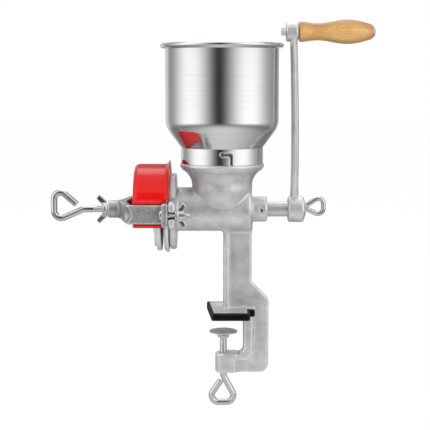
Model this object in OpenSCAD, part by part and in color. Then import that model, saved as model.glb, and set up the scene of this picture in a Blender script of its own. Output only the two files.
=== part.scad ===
// Hand crank grain mill that clamps to a table top.
// X runs along the shaft towards the crank, Y away from the viewer, Z up.
// The origin lies on the hopper's axis, at the underside of the upper jaw's rubber cap.

/* [Barrel] */
// Height of the shaft's axis above the table top
axis_z = 131; // [126:1:140]
// Bore of the barrel in which the auger turns, as a radius
barrel_bore_r = 22; // [21.5:0.25:23]
// Wall of the barrel and of the throat
barrel_wall = 4.5; // [4:0.25:6]
// Position of the barrel's closed end
barrel_end_x = 36; // [35:1:44]
// Thickness of the barrel's closed end
end_wall = 6; // [5:0.5:9]
// Radius of the rear bearing boss
rear_boss_r = 15.3; // [13:0.1:17]
// Length of the rear bearing boss
rear_boss_len = 18.5; // [12:0.5:20]
// Fillet between the rear boss and the barrel's end
rear_fillet = 1.5; // [1:0.25:3]
// Radius of the oil hole in the rear boss
oil_hole_r = 2; // [1.5:0.25:3]
// Distance of the oil hole from the end of the rear boss
oil_hole_in = 7; // [5:0.5:8]

/* [Flange] */
// Position of the flange's face, on the side of the plates
flange_x = -63; // [-66:1:-61]
// Thickness of the flange
flange_t = 8; // [6:0.5:10]
// Radius of the round part of the flange
flange_r = 46; // [44:0.5:48]
// Distance that the round part of the flange lies below the shaft's axis
flange_drop = 2.5; // [0:0.25:3]
// Reach of the two ears from the shaft's axis
ear_reach = 73; // [72:0.5:78]
// Height of the ears
ear_h = 32; // [28:1:36]
// Width of each ear beyond the axis of its bolt
ear_edge = 6.5; // [6:0.25:9]
// Fillet between the ears and the round part of the flange
ear_fillet = 5; // [3:0.5:7]
// Width of the open slots in the ears
ear_slot_w = 8; // [7.5:0.25:9]
// Fillet between the barrel and the flange
flange_fillet = 4; // [3:0.5:9]

/* [Throat] */
// Radius of the bowl above the auger
bowl_r = 36.4; // [35:0.2:37]
// Height of the bowl's centre above the shaft's axis
bowl_rise = 29; // [27:0.5:31]
// Radius of the hollow curve from the bowl up to the lip
flare_r = 22; // [20:0.5:24]
// Radius of the throat's lip
lip_r = 50; // [49.5:0.25:51]
// Thickness of the throat's lip
lip_t = 6; // [5:0.25:7]
// Height of the lip's top above the bowl's centre
lip_rise = 27; // [26:0.5:29]
// Height of the spigot that stands inside the hopper's neck
spigot_h = 18; // [17:0.5:19]
// Clearance between the spigot and the hopper's neck
spigot_gap = 0.3; // [0.2:0.05:0.5]
// Wall of the spigot
spigot_wall = 4; // [3:0.25:5]

/* [Hopper] */
// Outer radius of the hopper's neck
neck_r = 49.5; // [49:0.25:50]
// Height of the hopper's neck
neck_h = 19.4; // [19:0.2:21]
// Outer radius of the hopper's wall above the cone
hopper_r = 68; // [64:0.5:72]
// Height of the hopper from its neck's lower edge to its rim
hopper_h = 143; // [110:1:160]
// Widening of the cone for each millimetre of height
cone_slope = 0.74; // [0.65:0.01:0.85]
// Radius of the shoulder between the cone and the wall
shoulder_r = 24; // [16:1:28]
// Thickness of the hopper's sheet
sheet_t = 1; // [0.8:0.1:1.4]
// Radius of the rolled rim's section
rim_roll_r = 2.9; // [2:0.1:3.5]
// Distance that the sheet flares out under the rolled rim
rim_flare = 1.2; // [0:0.1:2.5]
// Radius of the bayonet pins
pin_r = 2.5; // [2:0.1:2.8]
// Length that the bayonet pins stand out of the spigot
pin_out = 2.6; // [2:0.1:3.2]
// Height of the bayonet pins above the neck's lower edge
pin_rise = 12.8; // [11:0.2:13]
// Clearance round a bayonet pin in its slot
pin_gap = 0.6; // [0.4:0.1:0.8]
// Angle that the hopper turns to unlock
unlock_deg = 11.8; // [10:0.2:14]

/* [Grinding plates] */
// Clearance between the fixed plate's edge and the hood
plate_side_gap = 1.2; // [0.8:0.1:2.5]
// Step in radius from the fixed plate's edge to the teeth of both plates
plate_step = 1.7; // [1:0.1:2.5]
// Thickness of each plate behind its teeth
plate_base_t = 3.2; // [2.8:0.1:4]
// Depth of the teeth
tooth_depth = 2; // [1.6:0.1:2.4]
// Number of grinding teeth on each plate
tooth_count = 84; // [48:6:90]
// Share of the teeth's pitch at the ring's inner edge that each groove takes up
tooth_groove_share = 0.8; // [0.5:0.05:0.85]
// Width of the ring of grinding teeth
tooth_ring_w = 10.5; // [9:0.1:15]
// Number of coarse grooves that feed the grinding teeth
feed_count = 12; // [8:1:16]
// Width of each coarse groove
feed_groove_w = 5; // [4:0.25:6]
// Depth of the grinding grooves as a share of the teeth's depth
tooth_groove_d = 0.85; // [0.6:0.05:0.9]
// Length of each coarse groove inside the plate's centre hole
feed_groove_in = 3; // [2:0.5:4]
// Slant of the grinding grooves from the radius
tooth_skew = 14; // [0:1:20]
// Gap between the teeth of the two plates at rest
plate_gap = 3.5; // [3.3:0.1:4.5]
// Height of the fixed plate's back register
register_t = 1; // [0.8:0.1:1.6]
// Step in radius from the fixed plate's edge to its back register
register_in = 12; // [10:0.5:14]
// Width of the lugs that stop the plates from turning
lug_w = 8; // [6:0.5:10]
// Depth of the lugs
lug_t = 2; // [1.5:0.25:2.5]
// Distance of the lugs' centres from the carrier's edge
lug_in = 11; // [10:0.5:13]
// Clearance of each lug in its notch
lug_gap = 0.2; // [0.1:0.05:0.4]

/* [Shaft and auger] */
// Radius of the shaft
shaft_r = 9.1; // [8:0.1:9.5]
// Running clearance of the shaft in its bearing
shaft_gap = 0.06; // [0.04:0.01:0.09]
// Outer radius of the auger's flight
flight_r = 21.2; // [20:0.1:21.2]
// Radius of the auger's core
auger_core_r = 12; // [11:0.5:13]
// Pitch of the auger's flight
flight_pitch = 25; // [20:1:30]
// Thickness of the flight at its root
flight_t = 4; // [3:0.25:5]
// Position of the auger's end on the side of the plates
auger_start_x = -61; // [-61:0.5:-58]
// Position of the auger's other end
auger_end_x = 24; // [20:0.5:24]
// Thickness of the shaft's collar behind the auger
collar_t = 2; // [1.5:0.25:2]
// Clearance of the auger's bore round the shaft
auger_gap = 0.15; // [0.1:0.05:0.3]
// Step in radius from the turning plate's edge to its carrier
carrier_in = 5.3; // [3:0.1:7]
// Thickness of the carrier's rim
carrier_rim_t = 3; // [2.75:0.25:4]
// Radius of the carrier's hub
carrier_hub_r = 14; // [13:0.5:17]
// Length of the carrier, from the plate to the end of its hub
carrier_len = 12.2; // [11.5:0.1:13]
// Distance of the carrier's cone from the edge of its rim
carrier_cone_in = 6; // [4:0.5:8]
// Distance that the carrier's cone widens past its hub
carrier_cone_out = 2; // [1:0.25:3]
// Length of the carrier's hub outside its cone
carrier_hub_out = 5; // [4:0.25:6]
// Radius of the centre hole of the turning plate
carrier_spigot_r = 18; // [17:0.5:20]
// Radius of the carrier's cross pin
cross_pin_r = 2; // [1.5:0.1:2.2]
// Metal between the cross pin and the end of the carrier's hub
cross_pin_in = 2; // [1.5:0.25:3]
// Length of the shaft's end beyond the carrier's hub
shaft_tail = 2; // [1.5:0.1:3]
// Thickness of the flight's edge as a share of its root
flight_edge = 0.4; // [0.3:0.05:0.6]
// Distance of the flight's ends from the ends of the auger's core
flight_in = 1; // [0.5:0.25:2]
// Radius of the thrust ball
ball_r = 4; // [3.6:0.1:4]
// Clearance round the thrust ball
ball_gap = 0.05; // [0.03:0.01:0.08]

/* [Yoke] */
// Thickness of the yoke's arms
yoke_arm_t = 6; // [5:0.25:7]
// Height of the yoke's arms
yoke_h = 22.8; // [20:0.2:26]
// Position of the outer corners of the yoke's bow
yoke_corner_x = -111.5; // [-114:0.5:-111]
// Position of the bow's face in front of the boss
bow_x = -124; // [-127:0.5:-122]
// Thickness of the bow along the shaft's axis, at the corners
bow_t = 4.5; // [4:0.25:5]
// Thickness of the bow along the shaft's axis, at the boss
bow_mid_t = 8; // [7:0.25:10]
// Distance of the bow's flat face from the boss's edge
bow_face_in = 2; // [1:0.25:3]
// Half width of the bow's hollow behind the boss
bow_back_y = 4; // [2:0.5:6]
// Radius of the yoke's boss
yoke_boss_r = 10.6; // [8:0.1:11]
// Length of the yoke's boss in front of the bow
yoke_boss_len = 14; // [12:0.5:17]
// Thickness of the yoke's feet
foot_t = 7.6; // [5:0.2:8]
// Height of the yoke's feet
foot_h = 27; // [25:0.5:30]
// Radius of the yoke bolts
bolt_r = 3.2; // [3:0.1:3.5]
// Radius of the yoke bolts' heads
bolt_head_r = 5.2; // [4.8:0.1:5.8]
// Thickness of the yoke bolts' heads
bolt_head_t = 2.4; // [2:0.1:4]
// Length of the yoke bolts under their heads
bolt_len = 33; // [30:0.5:35]
// Clearance of a bolt in a plain hole
bolt_gap = 0.25; // [0.15:0.05:0.4]

/* [Screws and nuts] */
// Radius of the washers under the wing nuts
washer_r = 7; // [6.5:0.1:7.4]
// Thickness of the washers
washer_t = 1.6; // [1.2:0.1:2]
// Radius of the wing nuts' hubs
nut_hub_r = 5.6; // [5:0.1:6]
// Length of the wing nuts' hubs
nut_hub_len = 12; // [8:0.25:13]
// Length that the wings take up on the hub
wing_root = 6; // [5:0.25:7]
// Distance of the wings' roots from the hub's face
wing_foot = 0.6; // [0.4:0.1:1.5]
// Span across the wing nuts' wings
nut_span = 32; // [26:1:34]
// Length that the wings lean past the hub's face
wing_lean = 5; // [3:0.5:6]
// Width of each wing
wing_w = 7; // [5:0.25:8]
// Thickness of each wing
wing_t = 3.5; // [2.5:0.25:4]
// Running clearance of each thread's core
thread_gap = 0.05; // [0.03:0.01:0.09]
// Radius of the adjusting screw
adjust_r = 4; // [3.6:0.1:4.4]
// Length of the adjusting screw from its tip to the bend
adjust_len = 72; // [68:1:80]
// Length of the adjusting screw's eye
adjust_eye_len = 36; // [32:1:42]
// Depth of the adjusting screw's eye below its axis
adjust_eye_low = 15.6; // [14:0.2:18]
// Height of the adjusting screw's eye above its axis
adjust_eye_high = 29.6; // [28:0.2:33]
// Bend radius of the adjusting screw's eye
adjust_bend_r = 8.9; // [8:0.1:10]
// Radius of the lock nut's hub
lock_hub_r = 8; // [7:0.1:9]
// Length of the lock nut's hub
lock_hub_len = 6.5; // [5:0.25:7]
// Span across the lock nut's wings
lock_span = 36; // [32:1:40]

/* [Flour hood] */
// Clearance between the hood and the yoke's arms
hood_side_gap = 0.4; // [0.4:0.1:1]
// Wall of the hood
hood_wall = 1.7; // [1.4:0.1:1.8]
// Position of the hood's closed end
hood_end_x = -105.5; // [-106:0.25:-104]
// Position of the hood's flared rim
hood_rim_x = -62.5; // [-63.5:0.25:-62.5]
// Length of the hood's flare along the shaft's axis
hood_flare = 3; // [2.5:0.25:4]
// Rounding of the hood's closed end
hood_round = 6; // [4:0.5:8]
// Reach of the hood's lips past its wall
hood_lip = 4.6; // [4:0.1:5]
// Thickness of the hood's lips
hood_lip_t = 3.6; // [2:0.1:5]
// Reach of the upper lips inside the hood's wall, where they join it
lip_root_high = 1; // [0.5:0.25:2]
// Reach of the lower lips inside the hood's wall
lip_root_low = 3; // [2:0.25:4]
// Clearance between the hood's lips and the yoke's arms
hood_grip_gap = 0.8; // [0.4:0.1:1.2]
// Width of the keyhole that lets the screw through the hood's end
keyhole_w = 13; // [11:0.5:15]

/* [Crank] */
// Position of the crank's hub, on the side of the barrel
crank_x = 79.5; // [76:0.5:84]
// Radius of the crank's hub
crank_hub_r = 15.8; // [14:0.2:17]
// Length of the crank's hub
crank_hub_len = 18.5; // [16:0.5:20]
// Height of the dome on the crank's hub
crank_dome_h = 4; // [3:0.25:5]
// Step in radius from the hub to the foot of its dome
crank_dome_in = 2; // [1:0.25:3]
// Radius of the top of the dome, as a share of the hub's radius
crank_dome_top = 0.66; // [0.5:0.02:0.8]
// Height of the handle's axis above the hopper's rim, with the crank upright
handle_over = 13.6; // [13.6:0.2:40]
// Thickness of the crank's arm
arm_t = 9.3; // [8:0.1:11]
// Thickness that the arm loses from the hub to the handle
arm_taper = 0.8; // [0:0.1:2]
// Width of the crank's arm at the hub
arm_low_w = 24; // [20:0.5:27]
// Width of the crank's arm at the handle
arm_top_w = 17; // [14:0.5:20]
// Distance of the arm's middle from the hub's face
arm_in = 7.7; // [6:0.1:9]
// Distance of the arm's upper end from the middle of the handle's boss, towards the handle
arm_out = 1.8; // [0:0.1:3]
// Radius of the boss that holds the handle's bolt
top_boss_r = 11.6; // [10:0.1:13]
// Length of the boss that holds the handle's bolt
top_boss_len = 14.4; // [12:0.2:15]
// Distance that the top boss stands back from the hub's face
top_boss_back = 3.5; // [2:0.1:5]
// Depth of the flat that drives the crank
drive_flat = 1.6; // [1:0.1:2.4]
// Depth of the shaft's end in the crank's hub
shaft_in_hub = 15.5; // [13:0.5:16]
// Radius of the crank's eye screw
crank_screw_r = 3; // [2.6:0.1:3.4]
// Depth of the eye screw in the shaft
crank_screw_in = 16; // [12:1:24]
// Length of the crank's eye screw outside the hub, up to its bend
crank_screw_out = 1; // [1:0.25:3]
// Length of the crank's eye
crank_eye_len = 20; // [19:0.5:26]
// Depth of the crank's eye below its axis
crank_eye_low = 9.6; // [8.5:0.1:11]
// Height of the crank's eye above its axis
crank_eye_high = 18; // [17:0.1:20]
// Bend radius of the crank's eye
crank_bend_r = 6.8; // [5:0.1:7]

/* [Handle] */
// Radius of the handle's bolt
handle_bolt_r = 3; // [2.5:0.1:4]
// Running clearance of the handle on its bolt
handle_gap = 0.08; // [0.05:0.01:0.1]
// Length of the wooden handle
grip_len = 87.1; // [80:0.5:100]
// Radius of the wooden handle at its inner end
grip_collar_r = 12.2; // [11:0.1:14]
// Radius of the wooden handle at its waist
grip_waist_r = 10.1; // [9:0.1:11.5]
// Radius of the wooden handle at its belly
grip_belly_r = 14.4; // [13:0.1:16]
// Radius of the wooden handle at its outer end
grip_end_r = 8.4; // [7.5:0.1:9.5]
// Position of the waist along the handle
grip_waist_at = 21; // [16:0.5:26]
// Position of the belly along the handle
grip_belly_at = 57; // [50:0.5:64]
// Play at each end of the wooden handle
grip_play = 0.3; // [0.2:0.05:0.5]
// Radius of the handle's washer
grip_washer_r = 9; // [8:0.1:11]
// Thickness of the handle's washer
grip_washer_t = 1.2; // [1:0.1:1.6]
// Radius of the handle bolt's head
handle_head_r = 7; // [6.4:0.1:7.5]
// Height of the handle bolt's head
handle_head_h = 3.5; // [3:0.1:5]
// Radius of the dome of the bolt's head, as a share of the head's radius
handle_head_dome = 1.6; // [1.2:0.1:2]
// Width across the flats of the handle's nut
handle_nut_w = 9; // [8.5:0.25:12]
// Thickness of the handle's nut
handle_nut_t = 5.5; // [5:0.25:7]

/* [Column and clamp] */
// Position of the rib's middle
rib_x = 5.5; // [5:0.5:8]
// Width of the rib
rib_w = 8; // [7:0.2:12]
// Depth of the rib
rib_depth = 24; // [20:1:30]
// Thickness of the web
web_t = 8; // [6:0.5:10]
// Position of the column's outer edge
column_x = 36; // [34:0.5:38]
// Height of the knee where the column widens
knee_z = 42; // [38:1:50]
// Position of the clamp's outer edge
back_x = 57; // [52:0.5:62]
// Position of the clamp opening's inner face
gap_x = 26.5; // [24:0.5:28]
// Width of the raised rim round the clamp opening
rim_w = 11.4; // [9:0.2:12]
// Step in the rim's width from its upright part to the lower jaw
rim_step = 3.6; // [2:0.2:5]
// Step in radius from the inner corner to the outer corner of the rim
rim_corner_out = 3; // [2:0.5:5]
// Depth of the raised rim round the clamp opening
rim_depth = 20; // [16:1:24]
// Depth of the clamp opening below the table top
gap_h = 46.7; // [42:0.5:52]
// Thickness of the lower jaw
lower_jaw_h = 24.5; // [22:0.5:28]
// Radius of the rounded corner at the bottom
back_round = 11; // [6:0.5:15]
// Radius of the clamp opening's inner corner
gap_round = 7; // [4:0.5:9]
// Position of the clamp screw's axis
clamp_x = 1.6; // [0:0.2:3]
// Radius of the lower boss
clamp_boss_r = 9.6; // [9:0.1:11]
// Length that joins the lower boss to the web
boss_joint = 6; // [4:0.5:8]
// Position of the middle of the ledge's front edge
ledge_x = -10.7; // [-13:0.1:-8]
// Distance that the far end of the front edge stands out past its near end
ledge_skew = 10.2; // [0:0.2:12]
// Width of the ledge across the clamp
ledge_w = 68; // [60:1:74]
// Thickness of the ledge
ledge_t = 6.5; // [5:0.25:8]
// Thickness of the rubber under the ledge
cap_floor = 3; // [2:0.25:4]
// Wall of the rubber cap round the ledge
cap_wall = 3; // [2.5:0.25:4]
// Length of the ledge past the clamp opening's inner face
ledge_root = 4; // [3:0.5:6]
// Reach of the cap's cheeks along the rim
cheek_len = 6.5; // [4:0.5:8]
// Radius of the clamp screw
clamp_r = 4.5; // [4:0.1:5]
// Height of the clamp screw's tip below the table top
clamp_tip = 24; // [23:0.5:28]
// Length of the clamp screw from its tip to its bend
clamp_len = 52; // [51:0.5:54]
// Radius of the wire of the clamp screw's eye
clamp_wire_r = 4; // [3.5:0.1:4.4]
// Length of the clamp screw's eye
clamp_eye_len = 34; // [30:0.5:40]
// Width of the clamp screw's eye on the side of the bend
clamp_eye_low = 18.1; // [17:0.1:20]
// Width of the clamp screw's eye on the side of the free end
clamp_eye_high = 21.7; // [21:0.1:24]
// Bend radius of the clamp screw's eye
clamp_bend_r = 8.5; // [8:0.1:9]
// Radius of the swivel disc
disc_r = 17.5; // [15:0.25:18.5]
// Thickness of the swivel disc
disc_t = 3; // [2.5:0.25:4]
// Thickness of the disc's edge
disc_edge_t = 1.5; // [1:0.25:2.5]
// Step in radius from the hub to the foot of its cone
disc_cone_w = 2; // [1:0.25:3]
// Height of the cone between the disc and its hub
disc_cone_h = 1.5; // [1:0.25:3]
// Radius of the swivel disc's hub
disc_hub_r = 8; // [7.5:0.1:9]
// Length of the swivel disc's hub
disc_hub_h = 7; // [6:0.25:8]
// Thickness of metal over the clamp screw's tip
disc_cap = 1.5; // [1:0.1:2]

/* [Hidden] */
$fn = 64;
// Overlap that joins pieces of one casting, and reach of a cut past a face
eps = 0.5;
far = 200;

// Where the tail of a bent eye points, and its length, as shares of the eye's size
eye_aim = [0.24, 0.2];
eye_tail = 0.76;
crank_eye_aim = [0.1, 0.36];

barrel_r = barrel_bore_r + barrel_wall;
bowl_z = axis_z + bowl_rise;
lip_z = bowl_z + lip_rise;
bowl_in_r = bowl_r - barrel_wall;
spigot_r = neck_r - sheet_t - spigot_gap;
spigot_in_r = spigot_r - spigot_wall;
rear_end_x = barrel_end_x + rear_boss_len;
bearing_r = shaft_r + shaft_gap;

bolt_y = ear_reach - ear_edge;
yoke_out_y = bolt_y - bolt_head_r;
yoke_in_y = yoke_out_y - yoke_arm_t;
hood_r = yoke_in_y - hood_side_gap;
fixed_plate_r = hood_r - hood_wall - plate_side_gap;
turning_plate_r = fixed_plate_r - plate_step;
tooth_ring_r = turning_plate_r - tooth_ring_w;
tooth_groove_w = tooth_groove_share * 2 * PI * tooth_ring_r / tooth_count;
register_r = fixed_plate_r - register_in;
carrier_r = turning_plate_r - carrier_in;
lug_at = carrier_r - lug_in;

pin_z = lip_z + pin_rise;
slot_r = pin_r + pin_gap;

fixed_back_x = flange_x - register_t;
fixed_face_x = fixed_back_x - plate_base_t;
fixed_tip_x = fixed_face_x - tooth_depth;
turning_tip_x = fixed_tip_x - plate_gap;
turning_face_x = turning_tip_x - tooth_depth;
turning_back_x = turning_face_x - plate_base_t;
carrier_end_x = turning_back_x - carrier_len;
cross_pin_x = carrier_end_x + cross_pin_r + cross_pin_in;
shaft_start_x = carrier_end_x - shaft_tail;
shaft_end_x = crank_x + shaft_in_hub;
ball_x = shaft_start_x - ball_r / 2;
adjust_tip_x = ball_x - ball_r / 2;
adjust_bend_x = adjust_tip_x - adjust_len;
yoke_end_x = bow_x - yoke_boss_len;

hood_edge_x = hood_rim_x - hood_flare;

nut_face_x = flange_x + flange_t + washer_t;
hub_end_x = crank_x + crank_hub_len;
handle_z = lip_z + hopper_h + handle_over;
top_boss_x = crank_x - top_boss_back;
washer_x = top_boss_x + top_boss_len;
grip_x = washer_x + grip_washer_t + grip_play;
handle_head_x = grip_x + grip_len + grip_play;

ledge_top = cap_floor + ledge_t;
ledge_back_x = gap_x + ledge_root;
jaw_low = -gap_h - lower_jaw_h;
flare_z = back_x - column_x;
// Position of the ledge's front edge at a distance across the clamp
function ledge_front(y) = ledge_x - ledge_skew * y / ledge_w;

// Turns a shape drawn along Z so that it runs along X on the shaft's axis
module on_axis(x = 0, y = 0, z = axis_z) {
    translate([x, y, z]) rotate([0, 90, 0]) children();
}

// Extrudes an outline drawn in X and Z across the middle plane
module across(depth) {
    rotate([90, 0, 0]) linear_extrude(depth, center = true) children();
}

// Corner between two straight edges and the arc of radius r that rounds them
module spandrel(r) {
    difference() {
        square(r);
        translate([r, r]) circle(r);
    }
}

function unit(v) = v / norm(v);
function turn(a, b) = atan2(a[0] * b[1] - a[1] * b[0], a * b);

// Points along a flat path whose corners are bent to radius r
function bent_path(path, r, steps = 7) = [
    for (i = [0:len(path) - 1])
        if (i == 0 || i == len(path) - 1) path[i]
        else
            let (
                before = unit(path[i] - path[i - 1]),
                bend = turn(before, unit(path[i + 1] - path[i])),
                heading = atan2(before[1], before[0]),
                side = sign(bend),
                centre = path[i] - before * r * tan(abs(bend) / 2) + r * side * [-sin(heading), cos(heading)]
            )
            each [for (j = [0:steps]) let (a = heading + bend * j / steps) centre + r * side * [sin(a), -cos(a)]]
];

// Round wire of radius wire_r through the points of a flat path
module wire(points, wire_r, sides = 16) {
    last = len(points) - 1;
    rings = [
        for (i = [0:last])
            let (along = unit(points[min(i + 1, last)] - points[max(i - 1, 0)]))
            for (j = [0:sides - 1])
                let (a = 360 * j / sides, out = wire_r * cos(a))
                [points[i][0] - out * along[1], points[i][1] + out * along[0], wire_r * sin(a)]
    ];
    skin = [
        for (i = [0:last - 1]) for (j = [0:sides - 1])
            let (a = i * sides + j, b = i * sides + (j + 1) % sides)
            [a, a + sides, b + sides, b]
    ];
    polyhedron(rings, concat(
        skin,
        [[for (j = [0:sides - 1]) j]],
        [[for (j = [sides - 1:-1:0]) last * sides + j]]
    ));
}

// Bent eye: the wire leaves the bend at the origin, runs round a triangle and ends near itself
module eye(length, low, high, r, wire_r, aim = eye_aim) {
    corner = [length, high];
    tail = unit([length * (1 - aim[0]), high * (1 - aim[1])]);
    path = [
        [-wire_r * 1.5, 0], [0, 0], [length, -low], corner,
        corner - tail * norm(corner) * eye_tail
    ];
    wire(bent_path(path, r), wire_r);
}

// Two wings that lean away from a hub, drawn along Z from z = 0 at the hub's face
module wings(hub_r, bore_r, span) {
    inside = (hub_r + bore_r) / 2;
    tip_z = wing_root + wing_lean;
    for (side = [-1, 1]) scale_side(side) rotate([90, 0, 0]) linear_extrude(wing_t, center = true) {
        polygon([
            [inside, wing_foot], [inside, wing_root], [span / 2 - wing_w / 2, tip_z],
            [span / 2, tip_z - wing_w / 2], [hub_r + eps, wing_foot]
        ]);
        translate([span / 2 - wing_w / 2, tip_z - wing_w / 2]) circle(wing_w / 2);
    }
}

module scale_side(side) {
    if (side > 0) children();
    else mirror([1, 0, 0]) children();
}

// Wing nut drawn along Z from its face, with its thread's core bored through
module wing_nut(hub_r, hub_len, span, bore_r) {
    difference() {
        union() {
            cylinder(r = hub_r, h = hub_len);
            wings(hub_r, bore_r, span);
        }
        translate([0, 0, -eps]) cylinder(r = bore_r, h = hub_len + 2 * eps);
    }
}

// Face outline of the flange: round plate with two ears, each with an open slot
module flange_outline() {
    difference() {
        union() {
            translate([flange_drop, 0]) circle(flange_r);
            square([ear_h, 2 * ear_reach], center = true);
        }
        for (side = [-1, 1]) {
            translate([0, side * bolt_y]) circle(ear_slot_w / 2);
            translate([-ear_slot_w / 2, side > 0 ? bolt_y : -bolt_y - far]) square([ear_slot_w, far]);
            for (edge = [0, 1]) mirror([edge, 0]) mirror([0, side > 0 ? 0 : 1])
                translate([ear_h / 2, ear_reach]) rotate(180) spandrel(ear_fillet);
        }
    }
}

// Barrel, flange fillet and bearing boss as one turned outline
module barrel_outline() {
    square([barrel_r, barrel_end_x - flange_x]);
    translate([barrel_r, flange_t]) spandrel(flange_fillet);
    translate([0, barrel_end_x - flange_x]) square([rear_boss_r, rear_boss_len]);
    translate([rear_boss_r, barrel_end_x - flange_x]) spandrel(rear_fillet);
}

// Outside of the throat above the bowl's centre: flare, rounded lip and spigot
module throat_outline() {
    difference() {
        square([lip_r - lip_t / 2, lip_rise]);
        translate([bowl_r + flare_r, 0]) circle(flare_r);
    }
    translate([lip_r - lip_t / 2, lip_rise - lip_t / 2]) circle(lip_t / 2);
    translate([lip_r - lip_t, lip_rise - lip_t]) square([lip_t / 2, lip_t]);
    translate([0, lip_rise - 1]) square([spigot_r, spigot_h + 1]);
}

// Inside of the throat above the bowl's centre
module throat_hollow() {
    difference() {
        square([spigot_in_r, lip_rise + spigot_h + eps]);
        translate([bowl_r + flare_r, 0]) circle(flare_r + barrel_wall);
    }
}

// Outline of the web: column, flare, clamp back and lower jaw, with the clamp opening cut out
module web_outline() {
    left = rib_x - rib_w / 2;
    difference() {
        polygon([
            [left, axis_z], [column_x, axis_z], [column_x, knee_z], [back_x, knee_z - flare_z],
            [back_x, jaw_low], [clamp_x, jaw_low], [clamp_x, -gap_h], [gap_x, -gap_h],
            [gap_x, cap_floor], [left, cap_floor]
        ]);
        translate([back_x, jaw_low]) rotate(90) spandrel(back_round);
    }
    translate([gap_x, -gap_h]) rotate(90) spandrel(gap_round);
}

// Outline of the raised rim along the clamp opening
module rim_outline() {
    low = -gap_h - rim_w + rim_step;
    difference() {
        translate([clamp_x, low]) square([gap_x + rim_w - clamp_x, ledge_top - low]);
        translate([clamp_x - far, -gap_h]) square([far + gap_x - clamp_x, far]);
        translate([gap_x + rim_w, low]) rotate(90) spandrel(gap_round + rim_corner_out);
    }
    translate([gap_x, -gap_h]) rotate(90) spandrel(gap_round);
}

// Outline of the ledge from above, grown by a wall on every side
module ledge_outline(wall = 0) {
    side_y = ledge_w / 2 + wall;
    polygon([
        [ledge_front(-side_y) - wall, -side_y], [ledge_back_x + wall, -side_y],
        [ledge_back_x + wall, side_y], [ledge_front(side_y) - wall, side_y]
    ]);
}

module lug(gap = 0) {
    for (side = [-1, 1])
        translate([side * lug_at - lug_w / 2 - gap, -lug_w / 2 - gap, -gap])
            cube([lug_w + 2 * gap, lug_w + 2 * gap, lug_t + eps + gap]);
}

module body_casting() color("silver") difference() {
    union() {
        on_axis(flange_x) linear_extrude(flange_t) flange_outline();
        on_axis(flange_x) rotate_extrude() barrel_outline();
        translate([0, 0, bowl_z]) sphere(bowl_r);
        translate([0, 0, bowl_z]) rotate_extrude() throat_outline();
        across(web_t) web_outline();
        across(rim_depth) rim_outline();
        translate([0, 0, ledge_top - 1]) linear_extrude(axis_z - ledge_top) {
            translate([rib_x, 0]) square([rib_w, rib_depth - rib_w], center = true);
            for (side = [-1, 1]) translate([rib_x, side * (rib_depth - rib_w) / 2]) circle(rib_w / 2);
        }
        translate([0, 0, cap_floor]) linear_extrude(ledge_t) ledge_outline();
        translate([clamp_x, 0, jaw_low]) cylinder(r = clamp_boss_r, h = lower_jaw_h);
        translate([clamp_x, -clamp_boss_r, jaw_low])
            cube([clamp_boss_r + boss_joint, 2 * clamp_boss_r, lower_jaw_h]);
    }
    on_axis(flange_x - eps) cylinder(r = barrel_bore_r, h = barrel_end_x - end_wall - flange_x + eps);
    on_axis() cylinder(r = bearing_r, h = rear_end_x + eps);
    translate([0, 0, bowl_z]) sphere(bowl_in_r);
    translate([0, 0, bowl_z]) rotate_extrude() throat_hollow();
    translate([rear_end_x - oil_hole_in, 0, axis_z]) rotate([90, 0, 0]) cylinder(r = oil_hole_r, h = far);
    for (side = [-1, 1]) translate([0, 0, pin_z]) rotate([90 * side, 0, 0]) cylinder(r = pin_r, h = far);
    on_axis(flange_x) lug(lug_gap);
    translate([clamp_x, 0, jaw_low - eps]) cylinder(r = clamp_r + thread_gap, h = lower_jaw_h + 2 * eps);
}

// Soft cap that slips over the ledge, with cheeks that grip the rim of the clamp opening
module jaw_rubber_cap() color([0.1, 0.1, 0.1]) difference() {
    linear_extrude(ledge_top) {
        ledge_outline(cap_wall);
        for (side = [-1, 1]) translate([ledge_back_x, side * (rim_depth + cap_wall) / 2 - cap_wall / 2])
            square([cap_wall + cheek_len, cap_wall]);
    }
    translate([0, 0, cap_floor]) linear_extrude(far) ledge_outline();
    translate([gap_x, -rim_depth / 2, -eps]) cube([far, rim_depth, far]);
}

module bayonet_pins() color("silver")
    for (side = [-1, 1]) translate([0, -side * (spigot_in_r + 1), pin_z]) rotate([90 * side, 0, 0])
        cylinder(r = pin_r, h = spigot_wall - 1 + pin_out);

// Side of the hopper from its neck up to its wall, set in by a distance measured off the sheet
function hopper_side(inset) =
    let (
        tilt = sqrt(1 + cone_slope * cone_slope),
        wall_x = hopper_r - inset,
        neck_x = neck_r - inset,
        cone_z = neck_h + inset * (tilt - 1) / cone_slope,
        corner_z = cone_z + (wall_x - neck_x) / cone_slope,
        half = atan(cone_slope) / 2,
        bend_r = shoulder_r - inset,
        reach = bend_r * tan(half)
    )
    concat(
        [[neck_x, 0], [neck_x, cone_z]],
        [for (i = [0:8]) let (a = 2 * half * (1 - i / 8))
            [wall_x - bend_r + bend_r * cos(a), corner_z + reach - bend_r * sin(a)]],
        [[wall_x, hopper_h - 2 * rim_roll_r - rim_flare]]
    );

module hopper_wall() {
    outer = hopper_side(0);
    inner = hopper_side(sheet_t);
    polygon(concat(outer, [for (i = [len(inner) - 1:-1:0]) inner[i]]));
    flare_low = hopper_h - 2 * rim_roll_r - rim_flare;
    polygon([
        [hopper_r - sheet_t, flare_low], [hopper_r, flare_low],
        [hopper_r + rim_flare, hopper_h - rim_roll_r], [hopper_r + rim_flare - sheet_t, hopper_h - rim_roll_r]
    ]);
    translate([hopper_r + rim_flare - sheet_t + rim_roll_r, hopper_h - rim_roll_r]) circle(rim_roll_r);
}

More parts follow.
